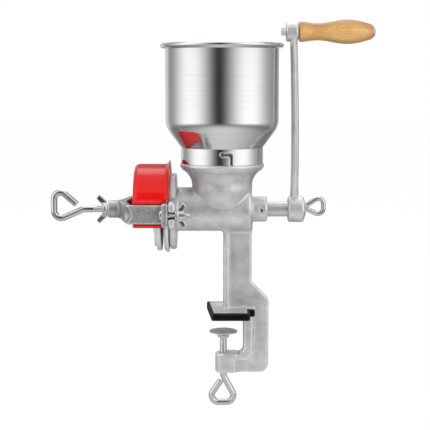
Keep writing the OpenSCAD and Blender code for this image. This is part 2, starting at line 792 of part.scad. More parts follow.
// L-shaped slot: a way in from the neck's lower edge and a run along the neck to the seat
module bayonet_slot() {
    entry_x = neck_r * sin(unlock_deg);
    rotate([90, 0, 0]) linear_extrude(far) {
        translate([0, pin_rise]) circle(slot_r);
        translate([0, pin_rise - slot_r]) square([entry_x, 2 * slot_r]);
        translate([entry_x, pin_rise]) circle(slot_r);
        translate([entry_x - slot_r, -eps]) square([2 * slot_r, pin_rise + eps]);
    }
}

module hopper() color("gainsboro") translate([0, 0, lip_z]) difference() {
    rotate_extrude($fn = 96) hopper_wall();
    for (turned = [0, 180]) rotate(turned) bayonet_slot();
}

module drive_shaft() color("lightgray") difference() {
    union() {
        on_axis(shaft_start_x) cylinder(r = shaft_r, h = shaft_end_x - shaft_start_x);
        on_axis(auger_end_x) cylinder(r = auger_core_r, h = collar_t);
    }
    translate([ball_x, 0, axis_z]) sphere(ball_r + ball_gap);
    translate([cross_pin_x, 0, axis_z]) rotate([90, 0, 0]) cylinder(r = cross_pin_r, h = far, center = true);
    translate([crank_x, -far / 2, axis_z + shaft_r - drive_flat]) cube(far);
    on_axis(shaft_end_x - crank_screw_in - 1) cylinder(r = crank_screw_r + thread_gap, h = far);
}

// Helical ridge of the auger: a four-cornered section carried round and along the core
module flight(length, root_r) {
    rings = round(length / flight_pitch * 20);
    lead = flight_t * (1 - flight_edge) / 2;
    section = [[root_r, 0], [root_r, flight_t], [flight_r, flight_t - lead], [flight_r, lead]];
    polyhedron(
        [for (i = [0:rings]) for (p = section)
            let (z = (length - flight_t) * i / rings, a = -360 * z / flight_pitch)
            [p[0] * cos(a), p[0] * sin(a), p[1] + z]],
        concat(
            [[3, 2, 1, 0]],
            [for (i = [0:rings - 1]) for (j = [0:3])
                let (a = 4 * i + j, b = 4 * i + (j + 1) % 4)
                each [[a, b + 4, a + 4], [a, b, b + 4]]],
            [[for (j = [0:3]) 4 * rings + j]]
        )
    );
}

module feed_auger() color("silver") {
    length = auger_end_x - auger_start_x;
    on_axis(auger_start_x) {
        difference() {
            cylinder(r = auger_core_r, h = length);
            translate([0, 0, -eps]) cylinder(r = shaft_r + auger_gap, h = length + 2 * eps);
        }
        translate([0, 0, flight_in]) flight(length - 2 * flight_in, auger_core_r - eps);
    }
}

// V groove, width wide at a face at z = 0, that starts at radius r and runs outwards
module groove(r, width, depth, skew, length) {
    translate([r, 0, 0]) rotate(skew) rotate([90, 0, 90]) linear_extrude(length)
        polygon([[-width, depth], [0, -depth], [width, depth]]);
}

// Toothed face of a grinding plate, with its base towards -Z and its teeth towards +Z
module plate(rim_r, hole_r, base_r) difference() {
    union() {
        cylinder(r = base_r, h = plate_base_t);
        cylinder(r = rim_r, h = plate_base_t + tooth_depth);
    }
    translate([0, 0, -eps]) cylinder(r = hole_r, h = far);
    for (i = [0:tooth_count - 1]) rotate(i * 360 / tooth_count)
        translate([0, 0, plate_base_t + tooth_depth])
            groove(tooth_ring_r, tooth_groove_w, tooth_depth * tooth_groove_d, tooth_skew, rim_r);
    for (i = [0:feed_count - 1]) rotate(i * 360 / feed_count)
        translate([0, 0, plate_base_t + tooth_depth])
            groove(hole_r - feed_groove_in, feed_groove_w, tooth_depth, -tooth_skew, tooth_ring_r - hole_r);
}

module fixed_plate() color("darkgray") on_axis(fixed_back_x) mirror([0, 0, 1]) {
    plate(turning_plate_r, barrel_bore_r, fixed_plate_r);
    translate([0, 0, -register_t]) difference() {
        cylinder(r = register_r, h = register_t);
        translate([0, 0, -eps]) cylinder(r = barrel_bore_r, h = register_t + 2 * eps);
    }
    mirror([0, 0, 1]) translate([0, 0, register_t - eps]) lug();
}

module turning_plate() color("darkgray") on_axis(turning_back_x) {
    plate(turning_plate_r, carrier_spigot_r, turning_plate_r);
    mirror([0, 0, 1]) translate([0, 0, -eps]) lug();
}

// Carrier that backs the turning plate, with its hub pinned to the shaft
module plate_carrier() color("silver") difference() {
    cone_end = carrier_len - carrier_hub_out;
    on_axis(turning_back_x) mirror([0, 0, 1]) rotate_extrude() {
        square([carrier_r, carrier_rim_t]);
        polygon([
            [0, carrier_rim_t], [carrier_r - carrier_cone_in, carrier_rim_t],
            [carrier_hub_r + carrier_cone_out, cone_end], [0, cone_end]
        ]);
        square([carrier_hub_r, carrier_len]);
        translate([0, -plate_base_t]) square([carrier_spigot_r, plate_base_t]);
    }
    on_axis(carrier_end_x - eps) cylinder(r = bearing_r, h = far);
    on_axis(turning_back_x) mirror([0, 0, 1]) translate([0, 0, -eps]) lug(lug_gap);
    translate([cross_pin_x, 0, axis_z]) rotate([90, 0, 0]) cylinder(r = cross_pin_r, h = far, center = true);
}

module carrier_pin() color("gray")
    translate([cross_pin_x, 0, axis_z]) rotate([90, 0, 0])
        cylinder(r = cross_pin_r, h = 2 * carrier_hub_r + 1, center = true);

module thrust_ball() color("gainsboro") translate([ball_x, 0, axis_z]) sphere(ball_r);

// Plan of one half of the yoke: bow, arm and foot
module yoke_half() {
    polygon([
        [bow_x, 0], [bow_x, yoke_boss_r - bow_face_in], [yoke_corner_x, yoke_out_y], [flange_x, yoke_out_y],
        [flange_x, yoke_in_y], [yoke_corner_x + bow_t, yoke_in_y], [bow_x + bow_mid_t, bow_back_y], [bow_x + bow_mid_t, 0]
    ]);
}

module yoke() color("silver") difference() {
    union() {
        for (side = [0, 1]) mirror([0, side, 0]) {
            translate([0, 0, axis_z - yoke_h / 2]) linear_extrude(yoke_h) yoke_half();
            translate([flange_x - foot_t, yoke_in_y, axis_z - foot_h / 2])
                cube([foot_t, ear_reach - yoke_in_y, foot_h]);
        }
        on_axis(yoke_end_x) cylinder(r = yoke_boss_r, h = yoke_boss_len + bow_mid_t);
    }
    on_axis(yoke_end_x - eps) cylinder(r = adjust_r + thread_gap, h = yoke_boss_len + bow_mid_t + 2 * eps);
    for (side = [-1, 1]) on_axis(flange_x - foot_t - eps, side * bolt_y)
        cylinder(r = bolt_r + bolt_gap, h = foot_t + 2 * eps);
}

module yoke_bolt(side) color("gainsboro") on_axis(flange_x - foot_t, side * bolt_y) {
    cylinder(r = bolt_r, h = bolt_len);
    translate([0, 0, -bolt_head_t]) cylinder(r = bolt_head_r, h = bolt_head_t);
}

module bolt_washer(side) color("gainsboro") on_axis(flange_x + flange_t, side * bolt_y)
    difference() {
        cylinder(r = washer_r, h = washer_t);
        translate([0, 0, -eps]) cylinder(r = bolt_r + bolt_gap, h = washer_t + 2 * eps);
    }

module bolt_nut(side) color("gainsboro") on_axis(nut_face_x, side * bolt_y)
    wing_nut(nut_hub_r, nut_hub_len, nut_span, bolt_r + thread_gap);

module adjusting_lock_nut() color("gainsboro") on_axis(yoke_end_x) mirror([0, 0, 1])
    wing_nut(lock_hub_r, lock_hub_len, lock_span, adjust_r + thread_gap);

module adjusting_eye_screw() color("gainsboro") difference() {
    union() {
        on_axis(adjust_bend_x + adjust_r * 1.5) cylinder(r = adjust_r, h = adjust_len - adjust_r * 1.5);
        translate([adjust_bend_x, 0, axis_z]) rotate([90, 0, 0]) mirror([1, 0, 0])
            eye(adjust_eye_len, adjust_eye_low, adjust_eye_high, adjust_bend_r, adjust_r);
    }
    translate([ball_x, 0, axis_z]) sphere(ball_r + ball_gap);
}

// Section of the hood: round wall closed at one end, with the same rounding inside and out
module hood_profile(inset) {
    length = hood_edge_x - hood_end_x;
    difference() {
        translate([0, inset]) square([hood_r - inset, length]);
        translate([hood_r - inset, inset]) rotate(90) spandrel(hood_round - inset);
    }
}

module flour_hood() color("red") {
    length = hood_edge_x - hood_end_x;
    inner_r = hood_r - hood_wall;
    lip_start_x = hood_end_x + hood_wall / 2;
    lip_len = flange_x - foot_t - hood_grip_gap - lip_start_x;
    top_z = axis_z + yoke_h / 2 + hood_grip_gap;
    low_z = axis_z - yoke_h / 2 - hood_grip_gap;
    difference() {
        on_axis(hood_end_x) rotate_extrude($fn = 96) difference() {
            hood_profile(0);
            hood_profile(hood_wall);
            translate([0, length]) square(far);
        }
        translate([-far, -far / 2, low_z - hood_lip_t - far]) cube([2 * far, far, far]);
        on_axis(hood_end_x - eps) cylinder(r = keyhole_w / 2, h = 2 * hood_wall + eps);
        translate([hood_end_x - eps, -keyhole_w / 2, -far / 2]) cube([2 * hood_wall + eps, keyhole_w, axis_z + far / 2]);
    }
    difference() {
        on_axis(hood_edge_x) rotate_extrude($fn = 96) polygon([
            [inner_r, -hood_wall], [hood_r, -hood_wall], [hood_r + hood_lip, hood_flare - hood_wall / 2],
            [hood_r + hood_lip, hood_flare], [hood_r + hood_lip - hood_wall / 2, hood_flare], [inner_r, 0]
        ]);
        translate([-far, -far / 2, axis_z + ear_h / 2 + hood_grip_gap - far]) cube([2 * far, far, far]);
    }
    for (side = [0, 1]) mirror([0, side, 0]) {
        translate([lip_start_x, inner_r - lip_root_high, top_z])
            cube([lip_len, hood_wall + lip_root_high + hood_lip, hood_lip_t]);
        translate([lip_start_x, inner_r - lip_root_low, low_z - hood_lip_t])
            cube([lip_len, hood_wall + lip_root_low + hood_lip, hood_lip_t]);
    }
}

// Arm of the crank, thicker in its middle, from the hub to the handle's boss
module crank_blade() {
    low_x = crank_x + arm_in;
    top_x = top_boss_x + top_boss_len / 2 + arm_out;
    hull() {
        translate([low_x, 0, axis_z]) resize([arm_t, arm_low_w, 1]) cylinder(r = 10, h = 1, $fn = 32);
        translate([top_x, 0, handle_z - 1]) resize([arm_t - arm_taper, arm_top_w, 1]) cylinder(r = 10, h = 1, $fn = 32);
    }
}

module crank_arm() color("silver") difference() {
    union() {
        on_axis(crank_x) cylinder(r = crank_hub_r, h = crank_hub_len);
        on_axis(hub_end_x) cylinder(r1 = crank_hub_r - crank_dome_in, r2 = crank_hub_r * crank_dome_top, h = crank_dome_h);
        crank_blade();
        on_axis(top_boss_x, 0, handle_z) cylinder(r = top_boss_r, h = top_boss_len);
    }
    difference() {
        on_axis(crank_x - eps) cylinder(r = bearing_r, h = shaft_in_hub + eps);
        translate([crank_x - far / 2, -far / 2, axis_z + shaft_r - drive_flat + shaft_gap]) cube(far);
    }
    on_axis(crank_x) cylinder(r = crank_screw_r + thread_gap, h = far);
    on_axis(top_boss_x - eps, 0, handle_z) cylinder(r = handle_bolt_r + shaft_gap, h = top_boss_len + 2 * eps);
}

module crank_eye_screw() color("gainsboro") {
    start_x = shaft_end_x - crank_screw_in;
    bend_x = hub_end_x + crank_dome_h + crank_screw_out;
    on_axis(start_x) cylinder(r = crank_screw_r, h = bend_x - crank_screw_r * 1.5 - start_x);
    translate([bend_x, 0, axis_z]) rotate([90, 0, 0])
        eye(crank_eye_len, crank_eye_low, crank_eye_high, crank_bend_r, crank_screw_r, crank_eye_aim);
}

module handle_bolt() color("gainsboro") {
    start_x = top_boss_x - handle_nut_t;
    dome_r = handle_head_r * handle_head_dome;
    on_axis(start_x, 0, handle_z) cylinder(r = handle_bolt_r, h = handle_head_x - start_x);
    on_axis(handle_head_x, 0, handle_z) rotate_extrude() intersection() {
        square([handle_head_r, handle_head_h]);
        translate([0, handle_head_h - dome_r]) circle(dome_r);
    }
}

module handle_nut() color("gainsboro") on_axis(top_boss_x - handle_nut_t, 0, handle_z) difference() {
    cylinder(r = handle_nut_w / sqrt(3), h = handle_nut_t, $fn = 6);
    translate([0, 0, -eps]) cylinder(r = handle_bolt_r + thread_gap, h = handle_nut_t + 2 * eps);
}

module handle_washer() color("gray") on_axis(washer_x, 0, handle_z) difference() {
    cylinder(r = grip_washer_r, h = grip_washer_t);
    translate([0, 0, -eps]) cylinder(r = handle_bolt_r + handle_gap, h = grip_washer_t + 2 * eps);
}

// Radius of the wooden handle at distance x: collar, waist, belly and end joined by cosines
function ease(t) = (1 - cos(180 * t)) / 2;
function grip_radius(x) =
    x < grip_waist_at ? grip_collar_r + (grip_waist_r - grip_collar_r) * ease(x / grip_waist_at)
    : x < grip_belly_at ?
        grip_waist_r + (grip_belly_r - grip_waist_r) * ease((x - grip_waist_at) / (grip_belly_at - grip_waist_at))
    : grip_belly_r - (grip_belly_r - grip_end_r) * (1 - cos(90 * (x - grip_belly_at) / (grip_len - grip_belly_at)));

module wooden_handle() color("burlywood") {
    rows = 28;
    on_axis(grip_x, 0, handle_z) rotate_extrude() difference() {
        polygon(concat(
            [[0, 0]], [for (i = [0:rows]) [grip_radius(grip_len * i / rows), grip_len * i / rows]], [[0, grip_len]]
        ));
        translate([-eps, -eps]) square([handle_bolt_r + handle_gap + eps, grip_len + 2 * eps]);
    }
}

module clamp_eye_screw() color("gainsboro") {
    translate([clamp_x, 0, -clamp_tip - clamp_len + clamp_wire_r * 1.5])
        cylinder(r = clamp_r, h = clamp_len - clamp_wire_r * 1.5);
    translate([clamp_x, 0, -clamp_tip - clamp_len]) rotate([90, 0, 0]) rotate(-90)
        mirror([0, 1, 0]) eye(clamp_eye_len, clamp_eye_low, clamp_eye_high, clamp_bend_r, clamp_wire_r);
}

// Swivel disc: dished plate with a hub that holds the clamp screw's tip
module clamp_disc() color("silver") {
    top = -clamp_tip + disc_cap + disc_t;
    translate([clamp_x, 0, top]) mirror([0, 0, 1]) rotate_extrude() difference() {
        polygon([
            [0, 0], [disc_r, 0], [disc_r, disc_edge_t], [disc_hub_r + disc_cone_w, disc_t + disc_cone_h],
            [disc_hub_r, disc_t + disc_hub_h], [0, disc_t + disc_hub_h]
        ]);
        translate([-eps, disc_t + disc_cap]) square([clamp_r + thread_gap + eps, far]);
    }
}

body_casting();
jaw_rubber_cap();
bayonet_pins();
hopper();
drive_shaft();
feed_auger();
plate_carrier();
carrier_pin();
turning_plate();
fixed_plate();
thrust_ball();
yoke();
yoke_bolt(-1);  // near_yoke_bolt
yoke_bolt(1);  // far_yoke_bolt
bolt_washer(-1);  // near_washer
bolt_washer(1);  // far_washer
bolt_nut(-1);  // near_wing_nut
bolt_nut(1);  // far_wing_nut
adjusting_eye_screw();
adjusting_lock_nut();
flour_hood();
crank_arm();
crank_eye_screw();
handle_bolt();
handle_nut();
handle_washer();
wooden_handle();
clamp_eye_screw();
clamp_disc();
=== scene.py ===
# Hand crank grain mill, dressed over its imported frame.
# X runs along the shaft towards the crank, Y away from the viewer, Z up.
# Shapes are worked out in millimetres and scaled to metres when they become a mesh.
import math
import bmesh
import bpy
import numpy as np
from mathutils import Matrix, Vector


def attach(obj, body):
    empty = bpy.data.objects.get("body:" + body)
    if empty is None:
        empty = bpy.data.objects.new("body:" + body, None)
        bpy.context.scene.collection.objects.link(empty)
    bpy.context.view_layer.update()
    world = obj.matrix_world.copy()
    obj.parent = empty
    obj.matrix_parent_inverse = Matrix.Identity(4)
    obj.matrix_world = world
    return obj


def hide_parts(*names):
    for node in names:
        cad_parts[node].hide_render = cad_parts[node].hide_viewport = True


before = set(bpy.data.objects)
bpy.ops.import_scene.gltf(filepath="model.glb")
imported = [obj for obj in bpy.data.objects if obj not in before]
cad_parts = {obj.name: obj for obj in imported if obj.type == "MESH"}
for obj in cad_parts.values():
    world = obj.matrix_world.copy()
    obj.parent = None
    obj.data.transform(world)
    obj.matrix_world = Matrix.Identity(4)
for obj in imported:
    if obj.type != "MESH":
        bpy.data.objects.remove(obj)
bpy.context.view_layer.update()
scene = bpy.context.scene
millimetre = 0.001
axisZ = 131.0   # height of the shaft's axis above the table top
tau = 2 * math.pi
print("frame loaded")


# Camera

view = {
    "place": (-8.65, -1328.0, 284.2),
    "tilt": 83.106,     # degrees from straight down
    "lens": 92.09,
    "sensor": 36.0,
}
cameraData = bpy.data.cameras.new("camera")
cameraData.lens = view["lens"]
cameraData.sensor_width = view["sensor"]
cameraData.clip_end = 50
camera = bpy.data.objects.new("camera", cameraData)
camera.location = Vector(view["place"]) * millimetre
camera.rotation_euler = (math.radians(view["tilt"]), 0, 0)
scene.collection.objects.link(camera)
scene.camera = camera


# Node groups and materials

def newGroup(name, inputs, outputs):
    group = bpy.data.node_groups.new(name, "ShaderNodeTree")
    for label, value in inputs.items():
        kind = "NodeSocketFloat" if isinstance(value, float) else "NodeSocketVector"
        group.interface.new_socket(name=label, in_out="INPUT", socket_type=kind).default_value = value
    for label in outputs:
        group.interface.new_socket(name=label, in_out="OUTPUT", socket_type="NodeSocketFloat")
    return group, group.nodes.new("NodeGroupInput").outputs, group.nodes.new("NodeGroupOutput").inputs


# Links an output to a socket, or sets the socket to a value
def feed(tree, value, socket):
    if isinstance(value, bpy.types.NodeSocket):
        tree.links.new(value, socket)
    else:
        socket.default_value = (*value, 1) if socket.type == "RGBA" else value


# New node with its options set and its inputs fed; gives back its outputs
def addNode(tree, kind, inputs, **options):
    node = tree.nodes.new("ShaderNode" + kind)
    for label, value in options.items():
        setattr(node, label, value)
    for key, value in inputs.items():
        feed(tree, value, node.inputs[key])
    return node.outputs


def noise(tree, vector, scale, detail, rough=0.5):
    inputs = {"Vector": vector, "Scale": scale, "Detail": detail, "Roughness": rough}
    return addNode(tree, "TexNoise", inputs)["Fac"]


def remap(tree, source, low, high, toLow, toHigh):
    inputs = {"Value": source, "From Min": low, "From Max": high, "To Min": toLow, "To Max": toHigh}
    return addNode(tree, "MapRange", inputs)["Result"]


def mixColour(tree, factor, first, second):
    return addNode(tree, "Mix", {0: factor, 6: first, 7: second}, data_type="RGBA")[2]


def mathNode(tree, operation, first, second):
    return addNode(tree, "Math", {0: first, 1: second}, operation=operation)[0]


# Noise lies mostly between 0.3 and 0.7; this spreads it from one value to another
def spread(tree, source, low, high):
    return remap(tree, source, 0.3, 0.7, low, high)


# Lets a colour through where a mask is bright
def tint(tree, base, mask, amount, colour):
    return mixColour(tree, mathNode(tree, "MULTIPLY", mask, amount), base, colour)


# Grain of a cast or worn surface: three sizes of noise give a tone, a sheen and a height
def buildGrain():
    inputs = {"Vector": (0, 0, 0), "Scale": 1400.0, "Patches": 60.0, "Pits": 0.5}
    group, given, out = newGroup("grain", inputs, ("Tone", "Sheen", "Height"))
    where, scale = given["Vector"], given["Scale"]
    fine, broad = noise(group, where, scale, 3, 0.6), noise(group, where, given["Patches"], 2)
    pits = noise(group, where, mathNode(group, "MULTIPLY", scale, 0.45), 1)
    pitMask = remap(group, pits, 0.3, 0.42, given["Pits"], 0.0)
    tone = mathNode(group, "MULTIPLY", mathNode(group, "ADD", fine, broad), 0.5)
    pitDirt = mathNode(group, "MULTIPLY", pitMask, 0.25)
    feed(group, mathNode(group, "SUBTRACT", tone, pitDirt), out["Tone"])
    feed(group, broad, out["Sheen"])
    feed(group, mathNode(group, "SUBTRACT", fine, pitMask), out["Height"])
    return group


# Mask of convex edges, brightened partly as wear and partly as painted highlight, and of hollows, for
# painted shade and painted highlight
def buildWearAndPaintedLight():
    group, given, out = newGroup("wearAndPaintedLight", {"Width": 0.06}, ("Edge", "Hollow"))
    point = addNode(group, "NewGeometry", {})["Pointiness"]
    bright = mathNode(group, "ADD", given["Width"], 0.5)
    dirty = mathNode(group, "SUBTRACT", 0.5, given["Width"])
    feed(group, remap(group, point, 0.5, bright, 0, 1), out["Edge"])
    feed(group, remap(group, point, 0.5, dirty, 0, 1), out["Hollow"])
    return group


# Fine lines round one axis, as spinning, turning or drawing leaves on metal
def buildLines():
    inputs = {"Vector": (0, 0, 0), "Stretch": (3, 3, 900)}
    group, given, out = newGroup("toolLines", inputs, ("Line", "Haze"))
    scaled = addNode(group, "VectorMath", {0: given["Vector"], 1: given["Stretch"]}, operation="MULTIPLY")[0]
    feed(group, noise(group, scaled, 1.0, 4, 0.6), out["Line"])
    feed(group, noise(group, given["Vector"], 25.0, 3), out["Haze"])
    return group


grainGroup, wearAndLightGroup, linesGroup = buildGrain(), buildWearAndPaintedLight(), buildLines()


def startMaterial(name):
    material = bpy.data.materials.new(name)
    material.use_nodes = True
    tree = material.node_tree
    return material, tree, addNode(tree, "TexCoord", {})["Object"]


def place(tree, group, **values):
    return addNode(tree, "Group", values, node_tree=group)


# Gives the shader its colour, roughness, relief and other sockets
def finish(tree, base, rough, height, strength, depth, others):
    relief = addNode(tree, "Bump", {"Height": height, "Strength": strength, "Distance": depth})["Normal"]
    shader = tree.nodes["Principled BSDF"]
    for label, value in {"Base Color": base, "Roughness": rough, "Normal": relief, **others}.items():
        feed(tree, value, shader.inputs[label])


# Metal whose tone runs between two greys with its grain, edges brightened as wear and as painted highlight,
# painted shade in hollows, or the given hollow grey; above a height painted shade, where a neighbour hides
# it
def grainyMetal(name, dark, light, edge, rough, scale=1400.0, pits=0.5, depth=0.00012, metal=1.0,
                hollow=None, paintedShadeFrom=None):
    material, tree, where = startMaterial(name)
    grain = place(tree, grainGroup, Vector=where, Scale=scale, Pits=pits)
    wornAndLit = place(tree, wearAndLightGroup, Width=0.06)
    base = mixColour(tree, spread(tree, grain["Tone"], 0, 1), dark, light)
    # painted shade in the hollows, darker than the dark grey, unless a hollow grey is given
    base = tint(tree, base, wornAndLit["Hollow"], 0.3, hollow or tuple(c * 0.6 for c in dark))
    # edges brightened, partly as wear and partly as painted highlight
    base = tint(tree, base, wornAndLit["Edge"], 0.6, edge)
    # painted shade: above the given height the grey turns dark, where the hopper's neck shades the spigot
    if paintedShadeFrom:
        height, fade = addNode(tree, "SeparateXYZ", {0: where})["Z"], 0.0008
        shade = remap(tree, height, paintedShadeFrom, paintedShadeFrom + fade, 0, 0.9)
        base = mixColour(tree, shade, base, (0.08,) * 3)
    sheen = spread(tree, grain["Sheen"], *rough)
    finish(tree, base, sheen, grain["Height"], 0.6, depth, {"Metallic": metal})
    return material


# Bright metal with fine tool lines round or along one axis, and painted shade in its hollows
def linedMetal(name, dark, light, rough, stretch, depth):
    material, tree, where = startMaterial(name)
    lines = place(tree, linesGroup, Vector=where, Stretch=stretch)
    wornAndLit = place(tree, wearAndLightGroup, Width=0.08)
    base = mixColour(tree, spread(tree, lines["Line"], 0, 1), dark, light)
    # painted shade in the hollows
    base = tint(tree, base, wornAndLit["Hollow"], 0.5, tuple(c * 0.5 for c in dark))
    sheen = spread(tree, lines["Haze"], *rough)
    finish(tree, base, sheen, lines["Line"], 0.25, depth, {"Metallic": 1.0})
    return material


def redPlastic():
    material, tree, where = startMaterial("redPlastic")
    grain = place(tree, grainGroup, Vector=where, Scale=420.0, Patches=35.0, Pits=0.0)
    wornAndLit = place(tree, wearAndLightGroup, Width=0.08)
    base = mixColour(tree, spread(tree, grain["Sheen"], 0, 1), (0.55, 0.003, 0.002), (0.6, 0.004, 0.003))
    # edges lighter red, partly as wear and partly as painted highlight
    base = tint(tree, base, wornAndLit["Edge"], 0.35, (0.8, 0.04, 0.035))
    finish(tree, base, spread(tree, grain["Tone"], 0.2, 0.3), grain["Height"], 0.08, 0.00005,
           {"IOR": 1.45, "Specular IOR Level": 0.35, "Coat Weight": 0.2, "Coat Roughness": 0.06})
    return material


# Beech: long fibres along the handle, broad darker bands, and short rays
def handleWood():
    material, tree, where = startMaterial("handleWood")
    stretched = addNode(tree, "Mapping", {"Vector": where, "Scale": (0.09, 1.0, 1.0)})[0]
    wave = {"Vector": stretched, "Scale": 34.0, "Distortion": 5.0, "Detail": 3.0, "Detail Scale": 0.6}
    bands = addNode(tree, "TexWave", wave, bands_direction="Y")["Fac"]
    fibre = place(tree, linesGroup, Vector=where, Stretch=(22, 900, 900))
    ray = place(tree, linesGroup, Vector=where, Stretch=(170, 1900, 700))
    base = mixColour(tree, remap(tree, bands, 0.1, 0.9, 0, 1), (0.43, 0.235, 0.067), (0.56, 0.35, 0.127))
    base = mixColour(tree, remap(tree, fibre["Line"], 0.35, 0.7, 0, 0.7), base, (0.42, 0.2, 0.055))
    base = mixColour(tree, remap(tree, ray["Line"], 0.56, 0.68, 0, 0.6), base, (0.3, 0.13, 0.035))
    finish(tree, base, spread(tree, fibre["Line"], 0.34, 0.5), fibre["Line"], 0.3, 0.00008,
           {"Coat Weight": 0.25, "Coat Roughness": 0.25})
    return material


def blackRubber():
    material, tree, where = startMaterial("blackRubber")
    grain = place(tree, grainGroup, Vector=where, Scale=1700.0, Patches=90.0, Pits=0.3)
    wornAndLit = place(tree, wearAndLightGroup, Width=0.05)
    base = mixColour(tree, spread(tree, grain["Tone"], 0, 1), (0.0015,) * 3, (0.004,) * 3)
    # painted highlight along the rubber's edges
    base = tint(tree, base, wornAndLit["Edge"], 0.5, (0.07, 0.07, 0.07))
    finish(tree, base, spread(tree, grain["Sheen"], 0.5, 0.68), grain["Height"], 0.35, 0.0001,
           {"Specular IOR Level": 0.08})
    return material


# Greys of each metal: dark, light and along edges (wear and painted highlight), then the roughness from and
# to, then the grain
tinned = {
    "dark": (0.5, 0.5, 0.495), "light": (0.86, 0.86, 0.855), "edge": (0.97, 0.97, 0.96),
    # the hollow grey is a painted highlight in the casting's fillets and creases
    "rough": (0.36, 0.5), "depth": 0.0002, "metal": 0.88, "hollow": (0.95, 0.95, 0.94),
}
materials = {
    "tinned_iron": grainyMetal("tinnedIron", **tinned),
    "tinnedWithShadedNeck": grainyMetal("tinnedWithShadedNeck", **tinned, paintedShadeFrom=0.1873),    # painted shade in the hopper's neck, over the spigot
    "tumbled_iron": grainyMetal("tumbledIron", (0.26, 0.26, 0.26), (0.6, 0.6, 0.595), (0.95, 0.95, 0.94),
                                (0.36, 0.48), 1100.0, 0.8, 0.00024, 0.85),
    "plate_iron": grainyMetal("groundIron", (0.4, 0.4, 0.395), (0.62, 0.62, 0.61), (0.82, 0.82, 0.81),
                              (0.36, 0.5), 1900.0, 0.7, metal=0.6),
    "plated_steel": grainyMetal("zincPlate", (0.52, 0.52, 0.52), (0.7, 0.7, 0.69), (0.9, 0.9, 0.9),
                                (0.14, 0.24), 900.0, 0.15, 0.00003),
    "dullPlate": grainyMetal("dullPlate", (0.46, 0.46, 0.46), (0.66, 0.66, 0.655), (0.9, 0.9, 0.9),
                             (0.36, 0.48), 1200.0, 0.4, 0.00008, 0.7),
    "stainless": linedMetal("polishedSteel", (0.66, 0.66, 0.66), (0.74, 0.74, 0.74), (0.1, 0.17),
                            (4, 4, 1500), 0.000006),
    "turned_steel": linedMetal("turnedSteel", (0.6, 0.6, 0.6), (0.76, 0.76, 0.76), (0.42, 0.54),
                               (1500, 5, 5), 0.00003),
    "red_plastic": redPlastic(),
    "handle_wood": handleWood(),
    "black_rubber": blackRubber(),
}
print("materials made")


# Mesh builders

# Merges the seams and poles of a mesh and turns its faces outwards
def mendMesh(mesh):
    work = bmesh.new()
    work.from_mesh(mesh)
    bmesh.ops.remove_doubles(work, verts=work.verts, dist=1e-7)
    bmesh.ops.recalc_face_normals(work, faces=work.faces)
    work.to_mesh(mesh)
    work.free()


def addObject(name, data):
    made = bpy.data.objects.new(name, data)
    scene.collection.objects.link(made)
    return made


# Smooths and paints a mesh, and makes it a piece that rides on its body and stands for its CAD node
def dressPiece(name, mesh, body, node, slotName, materialName=None, sharpAngle=38):
    mesh.polygons.foreach_set("use_smooth", np.ones(len(mesh.polygons), bool))
    mesh.set_sharp_from_angle(angle=math.radians(sharpAngle))
    mesh.materials.append(materials[materialName or slotName])
    piece = addObject(name, mesh)
    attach(piece, body)
    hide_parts(node)
    print(name, len(mesh.polygons), "faces")


# Joins parts, each some points and its quads, into one numbered list of points and quads
def joinParts(parts):
    starts = np.cumsum([0] + [len(points) for points, quads in parts])
    moved = [quads + start for (points, quads), start in zip(parts, starts)]
    return np.concatenate([points for points, quads in parts]), np.concatenate(moved)


# Piece made of parts; a skin of a field is whole already, the other kinds still have seams and poles to mend
def addPiece(name, parts, body, node, slotName, materialName=None, sharpAngle=38, mend=True):
    points, quads = joinParts(parts)
    mesh = bpy.data.meshes.new(name)
    mesh.vertices.add(len(points))
    mesh.vertices.foreach_set("co", (points * millimetre).astype(np.float32).ravel())
    mesh.loops.add(quads.size)
    mesh.loops.foreach_set("vertex_index", quads.astype(np.int32).ravel())
    mesh.polygons.add(len(quads))
    mesh.polygons.foreach_set("loop_start", np.arange(0, quads.size, 4))
    mesh.update(calc_edges=True)
    mesh.validate()
    if mend:
        mendMesh(mesh)
    dressPiece(name, mesh, body, node, slotName, materialName, sharpAngle)


# Quads between neighbouring rows and columns of a grid of points
def gridFaces(rows, columns, wrapRows=False, wrapColumns=False):
    i = np.arange(rows if wrapRows else rows - 1)[:, None]
    j = np.arange(columns if wrapColumns else columns - 1)[None, :]
    ni, nj = (i + 1) % rows, (j + 1) % columns
    corners = (i * columns + j, ni * columns + j, ni * columns + nj, i * columns + nj)
    return np.stack(np.broadcast_arrays(*corners), -1).reshape(-1, 4)


# Path through corners in a plane, each corner rounded by an arc tangent to its two sides
def softCorners(corners, radii, steps=6, loop=False):
    corners = np.asarray(corners, float)
    count = len(corners)
    path = []
    for k in range(count):
        if radii[k] <= 0 or (not loop and k in (0, count - 1)):
            path.append(corners[k][None])
            continue
        a, b = corners[k - 1] - corners[k], corners[(k + 1) % count] - corners[k]
        la, lb = np.linalg.norm(a), np.linalg.norm(b)
        a, b = a / la, b / lb
        half = math.acos(float(np.clip(a @ b, -1, 1))) / 2
        if half > math.pi / 2 - 1e-3:
            path.append(corners[k][None])
            continue
        reach = min(radii[k] / math.tan(half), la * 0.49, lb * 0.49)
        r = reach * math.tan(half)
        middle = (a + b) / np.linalg.norm(a + b)
        centre = corners[k] + middle * (r / math.sin(half))
        sweep = math.pi / 2 - half
        side = np.array([-middle[1], middle[0]])
        side = side if side @ a > 0 else -side
        t = np.linspace(1, -1, steps + 1)[:, None] * sweep
        path.append(centre - middle * r * np.cos(t) + side * r * np.sin(t))
    return np.concatenate(path)


